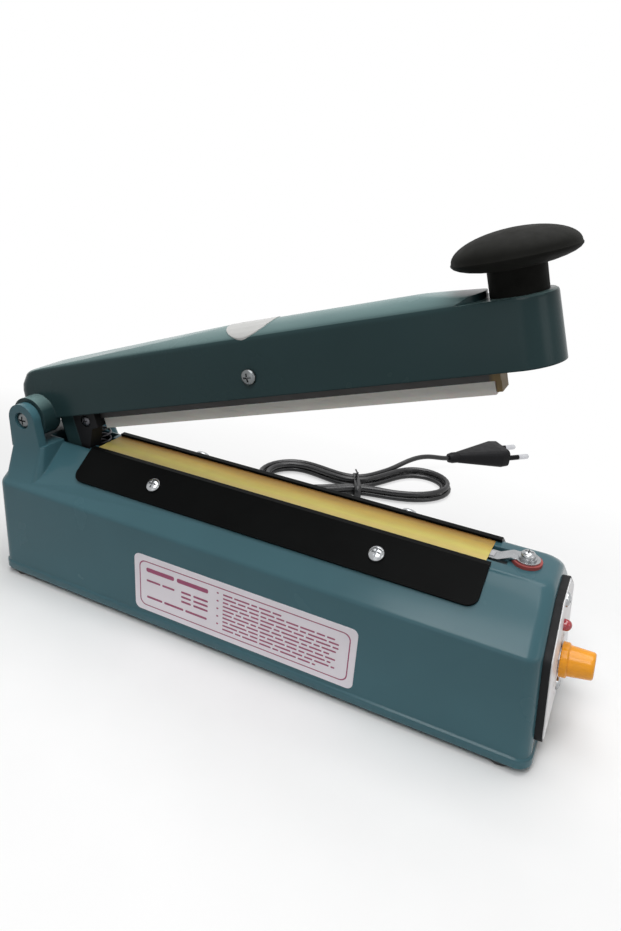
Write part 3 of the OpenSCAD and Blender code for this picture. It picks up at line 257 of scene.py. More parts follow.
def mix_colours(tree, share, first, second, blend="MIX"):
    """The first colour where the share is 0 and the second, or both blended, where it is 1."""
    made = node(tree, "Mix", {"data_type": "RGBA", "blend_type": blend})
    # Of the node's sockets, 0 is the share, 6 and 7 are its colours, and 2 is the mixed colour
    for index, value in ((0, share), (6, first), (7, second)):
        put(tree, made.inputs[index], value)
    return made.outputs[2]


def ramp(tree, factor, stops):
    made = node(tree, "ValToRGB", Fac=factor)
    elements = made.color_ramp.elements
    while len(elements) < len(stops):
        elements.new(0.5)
    for element, (position, colour) in zip(elements, stops):
        element.position = position
        element.color = (*colour, 1)
    return made.outputs["Color"]


def two_tones(tree, pattern, low, high):
    """Colour that runs from one tone to the other with a noise."""
    return ramp(tree, pattern, [(NOISE_LOW, low), (NOISE_HIGH, high)])


def spread(tree, value, low, high, start=NOISE_LOW, end=NOISE_HIGH):
    """Value that goes from low to high as another goes from start to end."""
    made = node(tree, "MapRange", Value=value)
    for name, number in (("From Min", start), ("From Max", end), ("To Min", low), ("To Max", high)):
        made.inputs[name].default_value = number
    return made.outputs["Result"]


def share_along(tree, coords, direction, start, end):
    """0 up to one place along a direction and 1 beyond another, both in mm from the origin."""
    along = node(tree, "VectorMath", {"operation": "DOT_PRODUCT"}, Vector=coords)
    along.inputs[1].default_value = direction
    return spread(tree, along.outputs["Value"], 0.0, 1.0, start * MM, end * MM)


def noise(tree, coords, size, detail, stretch=NO_STRETCH):
    """Noise with features of about that size in mm, drawn out along an axis where stretch is large."""
    if stretch != NO_STRETCH:
        coords = node(tree, "Mapping", Vector=coords, Scale=[1 / s for s in stretch]).outputs["Vector"]
    return node(tree, "TexNoise", Vector=coords, Scale=1 / (size * MM), Detail=detail).outputs["Fac"]


def tint(colour, factor):
    return tuple(min(1.0, c * factor) for c in colour)


def srgb(*levels):
    """Linear colour of an sRGB colour given from 0 to 255."""
    shares = [level / 255 for level in levels]
    return tuple(s / 12.92 if s <= 0.04045 else ((s + 0.055) / 1.055) ** 2.4 for s in shares)


def finish(name, colour, *, rough, vary, patch, depth, grain=None, stretch=NO_STRETCH, edge_radius=None,
           height=None, colours=None, **principled):
    """A finish whose tone, gloss and relief all vary over the surface.

    The roughness lies within rough, and the tone differs by the share vary. Patches, the relief's grain and
    depth and the rounding of edges are in mm. The relief is a noise of that grain, or else comes from height.
    """
    material = bpy.data.materials.new(name)
    material.use_nodes = True
    tree = material.node_tree
    shader = tree.nodes["Principled BSDF"]
    coords = node(tree, "TexCoord").outputs["Object"]
    tone = noise(tree, coords, patch, TONE_DETAIL, stretch)
    base = two_tones(tree, tone, tint(colour, 1 - vary), tint(colour, 1 + vary))
    if colours:
        base = colours(tree, coords, base)
    tree.links.new(base, shader.inputs["Base Color"])
    gloss = noise(tree, coords, patch * GLOSS_SHARE, PATCH_DETAIL, stretch)
    tree.links.new(spread(tree, gloss, *rough), shader.inputs["Roughness"])
    relief = height(tree, coords) if height else noise(tree, coords, grain, GRAIN_DETAIL, stretch)
    bump = node(tree, "Bump", Height=relief, Strength=1.0, Distance=depth * MM)
    if edge_radius:
        rounded = node(tree, "Bevel", {"samples": BEVEL_SAMPLES}, Radius=edge_radius * MM)
        tree.links.new(rounded.outputs["Normal"], bump.inputs["Normal"])
    tree.links.new(bump.outputs["Normal"], shader.inputs["Normal"])
    for key, value in principled.items():
        shader.inputs[key.replace("_", " ")].default_value = value
    return material


def bands(axis, pitch):
    """Relief of parallel lines across an axis, such as laminations, windings or threads."""
    def made(tree, coords):
        wave = node(tree, "TexWave", {"bands_direction": axis}, Vector=coords,
                    Scale=2 * math.pi / (WAVE_RADIANS * pitch * MM), Distortion=WAVE_DISTORTION)
        return wave.outputs["Fac"]
    return made


# Finishes with more than one colour
THREAD_PITCH = 0.7
STREAK_SIZE = 9
STREAK_STRETCH = (7, 1, 1)
STREAK_DRIFT = 8
STREAKS_NEAR = -9
STREAKS_FAR = 13
# Cloth tones from the near edge to the far one: the paler near edge is painted light, the browner far side is
# partly scorch streaks and partly painted shade
STREAK_AND_PAINTED_LIGHT_TONES = [(0.0, srgb(240, 226, 172)), (0.24, srgb(226, 202, 120)), (0.5, srgb(222, 206, 108)),
           (0.74, srgb(206, 174, 80)), (1.0, srgb(150, 110, 54))]
SLEEVE_COLOUR = srgb(24, 24, 26)
SLEEVE_EDGE = 0.5
# Dark colour painted on the strip holder along the strip: painted shade for the gap under the arm
PAINTED_SHADE_COLOUR = srgb(22, 20, 18)
PAINTED_SHADE_EDGE = 2
# Paler colours painted on the arm's upward-facing enamel: a painted sheen
SHEEN_PATCH_SIZE = 18
SHEEN_PATCH_STRETCH = (4, 1, 1)
PAINTED_SHEEN_COLOURS = (srgb(96, 122, 122), srgb(112, 138, 137))
PAINTED_SHEEN_FACING = (0.5, 0.95)


def weave(tree, coords):
    """Relief of a plain weave: two sets of threads that cross."""
    threads = [bands(axis, THREAD_PITCH)(tree, coords) for axis in "XY"]
    return math_node(tree, "MAXIMUM", *threads)


def cloth_colours(tree, coords, base):
    """Gold cloth: paler along the near edge as painted light, browner towards the far one as painted shade
    and scorch, in long streaks.
    """
    across = node(tree, "SeparateXYZ", Vector=coords).outputs["Y"]
    drift = noise(tree, coords, STREAK_SIZE, PATCH_DETAIL, STREAK_STRETCH)
    shifted = math_node(tree, "MULTIPLY_ADD", drift, STREAK_DRIFT * MM, across)
    share = spread(tree, shifted, 0.0, 1.0, STREAKS_NEAR * MM, STREAKS_FAR * MM)
    return mix_colours(tree, 1.0, ramp(tree, share, STREAK_AND_PAINTED_LIGHT_TONES), base, "MULTIPLY")


def sleeve_colours(tree, coords, base):
    """Plug pins: a dark sleeve from the body out to half their length, bright metal beyond."""
    end = PLUG_ENTRY.dot(PLUG_ALONG) + PIN_SLEEVE
    bare = share_along(tree, coords, PLUG_ALONG, end, end + SLEEVE_EDGE)
    return mix_colours(tree, bare, (*SLEEVE_COLOUR, 1), base)


def tip_colours(tree, coords, base):
    """Strip holder: painted dark along the strip for the shade in the gap under the arm, bare brown at the
    tip beyond it.
    """
    end = HINGE.dot(ARM_ALONG) + STRIP_FRONT
    bare = share_along(tree, coords, ARM_ALONG, end - PAINTED_SHADE_EDGE, end)
    return mix_colours(tree, bare, (*PAINTED_SHADE_COLOUR, 1), base)


def arm_colours(tree, coords, base):
    """Arm paint: paler along the top, a painted sheen."""
    facing = node(tree, "TexCoord").outputs["Normal"]
    upward = node(tree, "SeparateXYZ", Vector=facing).outputs["Z"]
    pattern = noise(tree, coords, SHEEN_PATCH_SIZE, PATCH_DETAIL, SHEEN_PATCH_STRETCH)
    painted_sheen = two_tones(tree, pattern, *PAINTED_SHEEN_COLOURS)
    return mix_colours(tree, spread(tree, upward, 0.0, 1.0, *PAINTED_SHEEN_FACING), base, painted_sheen)


# Finishes
teal = finish("teal_enamel", srgb(66, 103, 112), rough=(0.18, 0.28), vary=0.05, patch=45, grain=1.6,
              depth=0.006, edge_radius=1.0, Specular_IOR_Level=0.12, Coat_Weight=0.16, Coat_Roughness=0.12)
# The casing's enamel in a darker colour, with the shade on the arm's sides painted in and a painted sheen on
# its top
arm_teal_painted_shade_and_sheen = finish("arm_enamel_painted_shade_and_sheen", srgb(42, 63, 65), rough=(0.2, 0.3), vary=0.05, patch=45, grain=1.6,
                  depth=0.006, edge_radius=1.0, colours=arm_colours, Specular_IOR_Level=0.12)
black_plastic = finish("black_plastic", srgb(24, 24, 26), rough=(0.42, 0.56), vary=0.15, patch=8, grain=0.5,
                       depth=0.012, edge_radius=0.3, Specular_IOR_Level=0.15)
knob_plastic = finish("knob_plastic", srgb(27, 27, 25), rough=(0.58, 0.7), vary=0.12, patch=10, grain=0.4,
                      depth=0.014, edge_radius=0.4, Specular_IOR_Level=0.05)
black_enamel = finish("black_enamel", srgb(11, 12, 12), rough=(0.3, 0.42), vary=0.2, patch=20, grain=1.2,
                      depth=0.006, edge_radius=0.35, Specular_IOR_Level=0.03)
rubber = finish("rubber", srgb(27, 27, 28), rough=(0.5, 0.65), vary=0.15, patch=6, grain=0.6, depth=0.02,
                edge_radius=0.3)
zinc = finish("zinc_sheet", srgb(156, 157, 155), rough=(0.28, 0.42), vary=0.12, patch=9, grain=0.5,
              depth=0.006, stretch=(6, 1, 1), Metallic=1.0)
bright_steel = finish("bright_steel", srgb(166, 168, 170), rough=(0.16, 0.28), vary=0.08, patch=3, grain=0.4,
                      depth=0.004, edge_radius=0.2, Metallic=1.0)
dark_steel = finish("dark_steel", srgb(84, 84, 88), rough=(0.3, 0.42), vary=0.15, patch=2, grain=0.4,
                    depth=0.006, edge_radius=0.2, Metallic=1.0)
dull_steel = finish("dull_steel", srgb(112, 115, 116), rough=(0.26, 0.38), vary=0.12, patch=2, grain=0.4,
                    depth=0.005, edge_radius=0.2, Metallic=1.0)
silver_face = finish("silver_face", srgb(244, 244, 246), rough=(0.32, 0.42), vary=0.04, patch=12, grain=0.35,
                     depth=0.004, stretch=(1, 8, 1), Specular_IOR_Level=0.6)
red_lens = finish("red_lens", srgb(176, 22, 40), rough=(0.08, 0.16), vary=0.12, patch=2, grain=0.5,
                  depth=0.002, Coat_Weight=0.6, Subsurface_Weight=0.25, Subsurface_Scale=1.5 * MM)
orange_plastic = finish("orange_plastic", srgb(242, 160, 28), rough=(0.2, 0.3), vary=0.05, patch=9, grain=0.8,
                        depth=0.005, edge_radius=0.5, Specular_IOR_Level=0.35)
circuit_board = finish("circuit_board", srgb(34, 104, 58), rough=(0.3, 0.45), vary=0.2, patch=5, grain=0.5,
                       depth=0.01)
iron_core = finish("iron_core", srgb(118, 116, 113), rough=(0.45, 0.6), vary=0.2, patch=6, depth=0.08,
                   height=bands("Y", 0.5), Metallic=0.6)
copper_winding = finish("copper_winding", srgb(196, 138, 70), rough=(0.3, 0.42), vary=0.15, patch=5,
                        depth=0.15, height=bands("Z", 0.6), Metallic=0.7)
fibre = finish("fibre", srgb(156, 68, 64), rough=(0.5, 0.65), vary=0.12, patch=3, grain=0.4, depth=0.01,
               edge_radius=0.2)
brown_laminate = finish("brown_laminate", srgb(110, 84, 62), rough=(0.5, 0.62), vary=0.16, patch=5, grain=0.5,
                        depth=0.02, stretch=(5, 1, 1))
heater_alloy = finish("heater_alloy", srgb(180, 180, 182), rough=(0.3, 0.4), vary=0.1, patch=4, grain=0.4,
                      depth=0.004, stretch=(8, 1, 1), Metallic=1.0)
silicone = finish("silicone", srgb(240, 237, 229), rough=(0.45, 0.6), vary=0.07, patch=8, grain=0.7,
                  depth=0.012, stretch=(4, 1, 1), edge_radius=0.6, Subsurface_Weight=0.15,
                  Subsurface_Scale=2 * MM)
white_label = finish("white_label", srgb(236, 230, 236), rough=(0.34, 0.46), vary=0.03, patch=12, grain=0.6,
                     depth=0.004)
sticker_paper = finish("sticker_paper", srgb(184, 184, 182), rough=(0.3, 0.42), vary=0.025, patch=6,
                       grain=0.5, depth=0.006)
label_ink = finish("label_ink", srgb(156, 66, 104), rough=(0.4, 0.5), vary=0.1, patch=3, grain=0.4,
                   depth=0.002)
dial_ink = finish("dial_ink", srgb(32, 33, 36), rough=(0.4, 0.5), vary=0.15, patch=3, grain=0.4, depth=0.002)
cord_sheath = finish("cord_sheath", srgb(22, 22, 24), rough=(0.24, 0.36), vary=0.2, patch=10, grain=1.0,
                     depth=0.012)
tie_plastic = finish("tie_plastic", srgb(26, 26, 28), rough=(0.34, 0.46), vary=0.2, patch=3, grain=0.5,
                     depth=0.01)
gold_cloth = finish("sealing_cloth", (1.0, 1.0, 1.0), rough=(0.38, 0.5), vary=0.05, patch=6, depth=0.05,
                    height=weave, colours=cloth_colours, Specular_IOR_Level=0.35)
holder_laminate_painted_shade = finish("holder_laminate_painted_shade", srgb(116, 96, 58), rough=(0.5, 0.62), vary=0.2, patch=4,
                         grain=0.5, depth=0.02, stretch=(5, 1, 1), colours=tip_colours)
sleeved_pins = finish("sleeved_pins", srgb(205, 206, 210), rough=(0.2, 0.3), vary=0.08, patch=3, grain=0.4,
                      depth=0.004, colours=sleeve_colours, Metallic=0.85)

# Finish of each material slot, and of the nodes that differ from their slot
SLOT_FINISHES = {
    "teal_enamel": teal, "black_plastic": black_plastic, "black_enamel": black_enamel, "rubber": rubber,
    "zinc_sheet": zinc, "bright_steel": bright_steel, "dark_steel": dark_steel, "silver_face": silver_face,
    "red_lens": red_lens, "orange_plastic": orange_plastic, "circuit_board": circuit_board,
    "iron_core": iron_core, "copper_winding": copper_winding, "fibre": fibre,
    "brown_laminate": brown_laminate, "heater_alloy": heater_alloy, "sealing_cloth": gold_cloth,
    "silicone": silicone, "white_label": white_label, "cord_sheath": cord_sheath,
}
NODE_FINISHES = {
    "press_knob": knob_plastic, "round_sticker": sticker_paper, "plug_pins": sleeved_pins,
    "strip_holder": holder_laminate_painted_shade, "arm_casting": arm_teal_painted_shade_and_sheen, "cross_screw": dull_steel,
    "hinge_screws": dull_steel,
}


# Camera
camera = add_object("camera", bpy.data.cameras.new("camera"))
camera.data.sensor_width = SENSOR
camera.data.lens = FOCAL_PX * SENSOR / IMAGE_HEIGHT
camera.data.clip_start = CLIP_START * MM
camera.data.clip_end = CLIP_END * MM
up = RIGHT.cross(FORWARD)
camera.matrix_world = Matrix.Translation(EYE * MM) @ Matrix((RIGHT, up, -FORWARD)).transposed().to_4x4()
scene.camera = camera


# Cord: lead to the surface, hank wound inward, lifted and wound outward, tail to the plug
def oval(angle):
    """Point of the hank's outer turn before it is bent: an oval with a narrow waist."""
    return Vector((HANK_REACH * math.cos(angle) * (1 - HANK_PINCH * math.sin(angle) ** 2),
                   math.sin(angle) * (HANK_WAIST + HANK_BULGE * math.cos(angle) ** 2)))


def on_hank(x, y, z):
    """Point of the hank, which curves away from the casing at both ends."""
    radius = HANK_BEND - y
    bent = Vector((radius * math.sin(x / HANK_BEND), HANK_BEND - radius * math.cos(x / HANK_BEND), z))
    return HANK_CENTRE + Matrix.Rotation(HANK_YAW, 3, "Z") @ bent


def hank_point(turn):
    """Point of the cord so many turns from the hank's start."""
    angle = math.pi - 2 * math.pi * turn
    along = (oval(angle - ANGLE_STEP) - oval(angle + ANGLE_STEP)).normalized()
    inset = min(turn, HANK_IN, 2 * HANK_IN + HANK_LIFT_TURN - turn)
    flat = oval(angle) + Vector((along.y, -along.x)) * HANK_STEP * inset
    rise = smoothstep((turn - HANK_IN) / HANK_LIFT_TURN) * HANK_LAYER
    return on_hank(flat.x, flat.y, HANK_LOW + rise)


turn_count = round(HANK_TURNS * POINTS_PER_TURN)
turns = [hank_point(HANK_TURNS * i / turn_count) for i in range(turn_count + 1)]
head_along = (hank_point(TURN_STEP) - turns[0]).normalized()
foot_along = (turns[-1] - hank_point(HANK_TURNS - TURN_STEP)).normalized()
hank_start = turns[0] - head_along * CORD_DIAMETER
hank_end = turns[-1] + foot_along * CORD_DIAMETER
lead_points = [GLAND_END, *[Vector(p) for p in LEAD], hank_start - head_along * LEAD_RUN_IN, hank_start]
lead = smooth_curve(lead_points, LEAD_STEPS)


def tail_at(t):
    """Point of the tail: a Hermite curve from the hank to the plug, lifted most at its middle."""
    lift = Vector((0, 0, TAIL_LIFT * (4 * t * (1 - t)) ** 2))
    return ((2 * t ** 3 - 3 * t ** 2 + 1) * hank_end + (t ** 3 - 2 * t ** 2 + t) * TAIL_PULL[0] * foot_along
            + (3 * t ** 2 - 2 * t ** 3) * PLUG_ENTRY + (t ** 3 - t ** 2) * TAIL_PULL[1] * PLUG_ALONG + lift)


tail = [tail_at(i / TAIL_STEPS) for i in range(TAIL_STEPS + 1)]
route = [*lead, *turns, *tail]
curve = bpy.data.curves.new("mains_cord", "CURVE")
curve.dimensions = "3D"
curve.bevel_depth = CORD_DIAMETER / 2 * MM
curve.bevel_resolution = CORD_ROUNDNESS
curve.use_fill_caps = True
spline = curve.splines.new("POLY")
spline.points.add(len(route) - 1)
for spline_point, route_point in zip(spline.points, route):
    spline_point.co = (*(route_point * MM), 1)
cord = place(add_object("mains_cord", curve), "base", cord_sheath)
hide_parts("cord_lead", "cord_hank", "cord_tail")


# Twist tie round the hank's waist, its two ends twisted together and splayed
TIE_HALF = 12.7
TIE_WIDTH = 4
TIE_THICKNESS = 0.8
TIE_CLEARANCE = 0.4
TIE_CORNER = 4.5
TIE_TOP = HANK_LOW + HANK_LAYER + CORD_DIAMETER / 2 + TIE_CLEARANCE + TIE_THICKNESS
TIE_END_RADIUS = 0.55
TIE_END_SIDES = 8
TIE_END_STEPS = 24
TIE_END_RISE = 6.9
TIE_END_SINK = 0.5
TWIST_RADIUS = 0.6
TWIST_ANGLE = 3 * math.pi
SPLAY_FROM = 0.55
SPLAY_REACH = 9
SPLAY_CURVE = 1.5


def tie_loop(inset):
    """Closed band profile round the strands, so far inside the outer one."""
    width = 2 * (TIE_HALF + TIE_THICKNESS - inset)
    loop = rounded_box(width, TIE_TOP - 2 * inset, TIE_CORNER - inset)
    return [(y - width / 2, z + inset) for y, z in loop]


def tie_band():
    """The band itself, closed round the strands."""
    rails = []
    for x, inset in ((-TIE_WIDTH / 2, 0), (TIE_WIDTH / 2, 0),
                     (TIE_WIDTH / 2, TIE_THICKNESS), (-TIE_WIDTH / 2, TIE_THICKNESS)):
        rails.append([on_hank(x, y, z) for y, z in tie_loop(inset)])
    count = len(rails[0])
    verts = [point for rail in rails for point in rail]
    faces = []
    for rail in range(len(rails)):
        after = (rail + 1) % len(rails)
        for i in range(count):
            j = (i + 1) % count
            faces.append((rail * count + i, rail * count + j, after * count + j, after * count + i))
    return verts, faces


def tie_end(phase, splay):
    """One of the two ends, which wind round each other and part at the top."""
    points = []
    for i in range(TIE_END_STEPS + 1):
        share = i / TIE_END_STEPS
        angle = phase + share * TWIST_ANGLE
        apart = splay * max(0.0, share - SPLAY_FROM) ** SPLAY_CURVE * SPLAY_REACH
        points.append(on_hank(TWIST_RADIUS * (math.cos(angle) - 1), TWIST_RADIUS * math.sin(angle) + apart,
                              TIE_TOP - TIE_END_SINK + TIE_END_RISE * share))
    return tube_parts(points, TIE_END_RADIUS, TIE_END_SIDES)


tie = mesh_object("twist_tie", *join_parts([tie_band(), tie_end(0, 1), tie_end(math.pi, -1)]))
place(tie, "base", tie_plastic)
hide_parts("hank_tie")


# Return spring under the arm, a fixed coil at its rest length; the arm presses it together as it closes
SPRING_TURNS = 8
SPRING_STEPS = 32
SPRING_SIDES = 10
SPRING_WIRE = 1.2
spring_low, spring_high = (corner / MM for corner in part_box("return_spring"))
spring_axis = (spring_low + spring_high) / 2
spring_radius = (spring_high.y - spring_low.y - SPRING_WIRE) / 2
spring_rise = spring_high.z - spring_low.z - SPRING_WIRE
helix = []
for i in range(SPRING_TURNS * SPRING_STEPS + 1):
    spring_turn = i / SPRING_STEPS
    helix.append(Vector((spring_axis.x + spring_radius * math.cos(2 * math.pi * spring_turn),
                         spring_axis.y + spring_radius * math.sin(2 * math.pi * spring_turn),
                         spring_low.z + SPRING_WIRE / 2 + spring_turn / SPRING_TURNS * spring_rise)))
spring = place(mesh_object("coil_spring", *tube_parts(helix, SPRING_WIRE / 2, SPRING_SIDES)),
               "base", dark_steel)
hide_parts("return_spring")
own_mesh(spring)


# Sealing cloth, drawn over the ridge and held down both slopes by the clamp plates
CLOTH_REACH = 14.25
CLOTH_LIFT = 0.15
CLOTH_STATIONS = 83
SLOPE_ROWS = 9
RIDGE_ROWS = (11.6, 10.6, 9.5, 8.4, 7.4, 6.2, 5, 4, 3.2, 2.6, 2, 1, 0)
RIDGE_LIFT = 0.06
# It dips beside the heater ribbon and rises over it
DIP_DEPTH = 0.1
DIP_MIDDLE = 5.5
DIP_FADE = 4
RIBBON_LIFT = 0.08
RIBBON_EDGE = 3.4
RIBBON_FADE = 1.4
RIPPLE = 0.03
RIPPLE_WAVES = ((0.11, 0.9), (0.043, 0.35))
slope = (RIDGE - CREASE).normalized()
slope_out = Vector((slope.y, -slope.x))


def cloth_profile():
    """Half of the cloth's section from its lower edge to the middle of the ridge: distance out, height."""
    points = []
    for i in range(SLOPE_ROWS):
        down = CLOTH_REACH * (1 - i / (SLOPE_ROWS - 0.5))
        points.append(RIDGE - slope * down + slope_out * CLOTH_LIFT)
    for y in RIDGE_ROWS:
        dip = DIP_DEPTH * smoothstep((DIP_MIDDLE - abs(y - DIP_MIDDLE)) / DIP_FADE)
        raised = RIBBON_LIFT * smoothstep((RIBBON_EDGE - y) / RIBBON_FADE)
        points.append(Vector((y, RIDGE.y + CLOTH_LIFT + RIDGE_LIFT - dip + raised)))
    return points


def cloth_mesh():
    """The section carried along the ridge, with a slight ripple."""
    half = cloth_profile()
    section = [(-p.x, p.y) for p in half] + [(p.x, p.y) for p in reversed(half[:-1])]
    verts = []
    for i in range(CLOTH_STATIONS):
        x = REAR_X + CLOTH_REAR + CLOTH_LENGTH * i / (CLOTH_STATIONS - 1)
        for k, (y, z) in enumerate(section):
            waves = [math.sin(along * x + across * k) for along, across in RIPPLE_WAVES]
            verts.append((x, y, FOOT + z + RIPPLE * math.prod(waves)))
    columns = len(section)
    faces = []
    for i in range(CLOTH_STATIONS - 1):
        for k in range(columns - 1):
            a = i * columns + k
            faces.append((a, a + 1, a + columns + 1, a + columns))
    return verts, faces


cloth = place(mesh_object("gold_cloth", *cloth_mesh()), "base", gold_cloth)
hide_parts("sealing_cloth")


# Label print: a keyline and rows of plain bars where the lettering would be
LABEL_LENGTH = 116
LABEL_HEIGHT = 31
LABEL_START = 89.5
LABEL_BOTTOM = 7
LABEL_SHEET = 0.3
PRINT_LIFT = 0.03
KEYLINE_INSET = 2.9
KEYLINE_WIDTH = 0.55
KEYLINE_CORNER = 5
BAR_CORNER = 0.35
BAR_CORNER_STEPS = 3
# Rows on the left: start and end along the label, place up it, the bars' height and lengths, the gap
LEFT_ROWS = [
    (7, 42, 22.4, 2.3, [16, 18], 1.6),
    (27, 42, 17.4, 1.1, [5.5, 8], 1.4),
    (27, 42, 14.8, 1.1, [5.5, 8], 1.4),
    (27, 42, 12.2, 1.1, [5.5, 8], 1.4),
    (7, 24, 17, 1.1, [8, 7], 1.2),
    (7, 42, 7.6, 1.2, [9, 11, 12], 1.2),
]
# Lines on the right, with a dot before every second one
LINE_START = 50
LINE_ENDS = [80, 106, 108, 108, 107, 104, 107, 105, 107, 98]
LINE_TOP = 24.4
LINE_PITCH = 2.1
LINE_HEIGHT = 0.85
LINE_LENGTHS = [[5, 8, 3, 6], [7, 4, 6], [3, 9, 5], [8, 5, 4, 7], [6, 3, 8]]
LINE_GAP = 0.9
DOT_START = 46.6
DOT_LENGTH = 1.1


def on_label(u, v):
    """Point of the print at u along the label and v up it."""
    rise = LABEL_BOTTOM + v
    out = LABEL_SHEET + PRINT_LIFT
    return Vector((REAR_X + LABEL_START + u,
                   -WALL_FOOT + rise * math.sin(WALL_DRAFT) - out * math.cos(WALL_DRAFT),
                   FOOT + rise * math.cos(WALL_DRAFT) + out * math.sin(WALL_DRAFT)))


def keyline():
    """Thin rounded frame inside the label's edge."""
    loops = []
    for inset in (KEYLINE_INSET, KEYLINE_INSET + KEYLINE_WIDTH):
        outline = rounded_box(LABEL_LENGTH - 2 * inset, LABEL_HEIGHT - 2 * inset, KEYLINE_CORNER - inset / 2)
        loops.append([on_label(u + inset, v + inset) for u, v in outline])
    count = len(loops[0])
    faces = []
    for i in range(count):
        j = (i + 1) % count
        faces.append((i, j, count + j, count + i))
    return loops[0] + loops[1], faces


def bar(u, v, length, height):
    outline = rounded_box(length, height, height * BAR_CORNER, BAR_CORNER_STEPS)
    return [on_label(u + x, v + y) for x, y in outline], [tuple(range(len(outline)))]


def bar_row(start, end, v, height, lengths, gap):
    """A row of bars of those lengths in turn, between two places."""
    made = []
    u = start
    for length in itertools.cycle(lengths):
        length = min(length, end - u)
        if length < height:
            return made
        made.append(bar(u, v, length, height))
        u += length + gap


print_parts = [keyline()]
for row in LEFT_ROWS:
    print_parts += bar_row(*row)
for i, line_end in enumerate(LINE_ENDS):
    line_v = LINE_TOP - LINE_PITCH * i
    line_lengths = LINE_LENGTHS[i % len(LINE_LENGTHS)]
    print_parts += bar_row(LINE_START, line_end, line_v, LINE_HEIGHT, line_lengths, LINE_GAP)
    if i % 2 == 0:
        print_parts.append(bar(DOT_START, line_v, DOT_LENGTH, LINE_HEIGHT))
place(mesh_object("label_print", *join_parts(print_parts), smooth=False), "base", label_ink)


# Dial print on the end panel: ticks and numbers round the timer knob
DIAL_SWEEP = 140
DIAL_NUMBERS = 8
TICKS_PER_NUMBER = 5
TICK_COUNT = (DIAL_NUMBERS - 1) * TICKS_PER_NUMBER + 1
TICK_INNER = 9.6
LONG_TICK = {"outer": 11.6, "half": 0.28}
SHORT_TICK = {"outer": 10.7, "half": 0.16}
TICK_TAPER = 0.6
NUMBER_RADIUS = 14.6
NUMBER_SIZE = 3.6
NUMBER_ROUNDNESS = 4


def on_dial(place_on_dial):
    """Point of the end panel's face at a place across and up from the timer knob's axis."""
    rise = TIMER_HEIGHT + place_on_dial.y
    out = PANEL_FACE + PRINT_LIFT
    return Vector((REAR_X + CASING_LENGTH + out * math.cos(FRONT_LEAN) - rise * math.sin(FRONT_LEAN),
                   place_on_dial.x,
                   FOOT + out * math.sin(FRONT_LEAN) + rise * math.cos(FRONT_LEAN)))


def dial_tick(angle, outer, half):
    ray = Vector((math.sin(angle), math.cos(angle)))
    side = Vector((ray.y, -ray.x)) * half
    corners = [ray * TICK_INNER - side, ray * TICK_INNER + side,
               ray * outer + side * TICK_TAPER, ray * outer - side * TICK_TAPER]
    return [on_dial(corner) for corner in corners], [(0, 1, 2, 3)]


def dial_number(number, angle):
    """Outline mesh of a digit, upright on the panel's face."""
    text = bpy.data.curves.new("digit", "FONT")
    text.body = str(number)
    text.size = NUMBER_SIZE
    text.align_x = "CENTER"
    text.align_y = "CENTER"
    text.resolution_u = NUMBER_ROUNDNESS
    holder = add_object("digit", text)
    mesh = holder.to_mesh()
    centre = Vector((math.sin(angle), math.cos(angle))) * NUMBER_RADIUS
    verts = [on_dial(centre + v.co.xy) for v in mesh.vertices]
    faces = [tuple(polygon.vertices) for polygon in mesh.polygons]
    holder.to_mesh_clear()
    bpy.data.objects.remove(holder)
    return verts, faces


dial_parts = []
for i in range(TICK_COUNT):
    tick_angle = math.radians(-DIAL_SWEEP + 2 * DIAL_SWEEP * i / (TICK_COUNT - 1))
    if i % TICKS_PER_NUMBER == 0:
        dial_parts.append(dial_tick(tick_angle, **LONG_TICK))
        dial_parts.append(dial_number(i // TICKS_PER_NUMBER + 1, tick_angle))
    else:
        dial_parts.append(dial_tick(tick_angle, **SHORT_TICK))
place(mesh_object("dial_print", *join_parts(dial_parts), smooth=False), "base", dial_ink)


# Finishes of the carried-over nodes, with their facets shaded smooth below an angle
SMOOTH_ANGLE = math.radians(34)
MERGE_GAP = 0.005


def smooth_group():
    """Modifier that joins the facets' corners for shading and keeps edges over the angle sharp."""
    group = bpy.data.node_groups.new("smooth_by_angle", "GeometryNodeTree")
    group.interface.new_socket("Geometry", in_out="INPUT", socket_type="NodeSocketGeometry")
    group.interface.new_socket("Geometry", in_out="OUTPUT", socket_type="NodeSocketGeometry")
    entry = group.nodes.new("NodeGroupInput")
    merge = group.nodes.new("GeometryNodeMergeByDistance")
    merge.inputs["Distance"].default_value = MERGE_GAP * MM
    edge_angle = group.nodes.new("GeometryNodeInputMeshEdgeAngle")
    sharp = group.nodes.new("FunctionNodeCompare")
    sharp.operation = "GREATER_THAN"
    sharp.inputs[1].default_value = SMOOTH_ANGLE
    normals = group.nodes.new("GeometryNodeSetMeshNormal")
    normals.mode = "SHARPNESS"
    normals.inputs["Remove Custom"].default_value = True
    leave = group.nodes.new("NodeGroupOutput")
    group.links.new(entry.outputs[0], merge.inputs["Geometry"])
    group.links.new(merge.outputs["Geometry"], normals.inputs["Mesh"])
    group.links.new(edge_angle.outputs["Unsigned Angle"], sharp.inputs[0])
    group.links.new(sharp.outputs["Result"], normals.inputs["Edge Sharpness"])
    group.links.new(normals.outputs["Mesh"], leave.inputs[0])
    return group


smoothing = smooth_group()
for subpart in frame["record"]["subparts"]:
    node_name = subpart["node"]
    carried = frame["nodes"][node_name]
    carried.data.materials.clear()
    carried.data.materials.append(NODE_FINISHES.get(node_name) or SLOT_FINISHES[subpart["material_slot"]])
    carried.modifiers.new("smooth", "NODES").node_group = smoothing


# Studio: white floor that keeps the shadow, white beyond it, soft lights from the front and above, weak fills
FLOOR_HALF = 6000
FLOOR_PATCH = 30
FLOOR_TONES = ((0.94, 0.94, 0.94), (0.96, 0.96, 0.96))
FLOOR_FAR = (0.12, 0.12, 0.12)
FLOOR_ROUGHNESS = 0.7
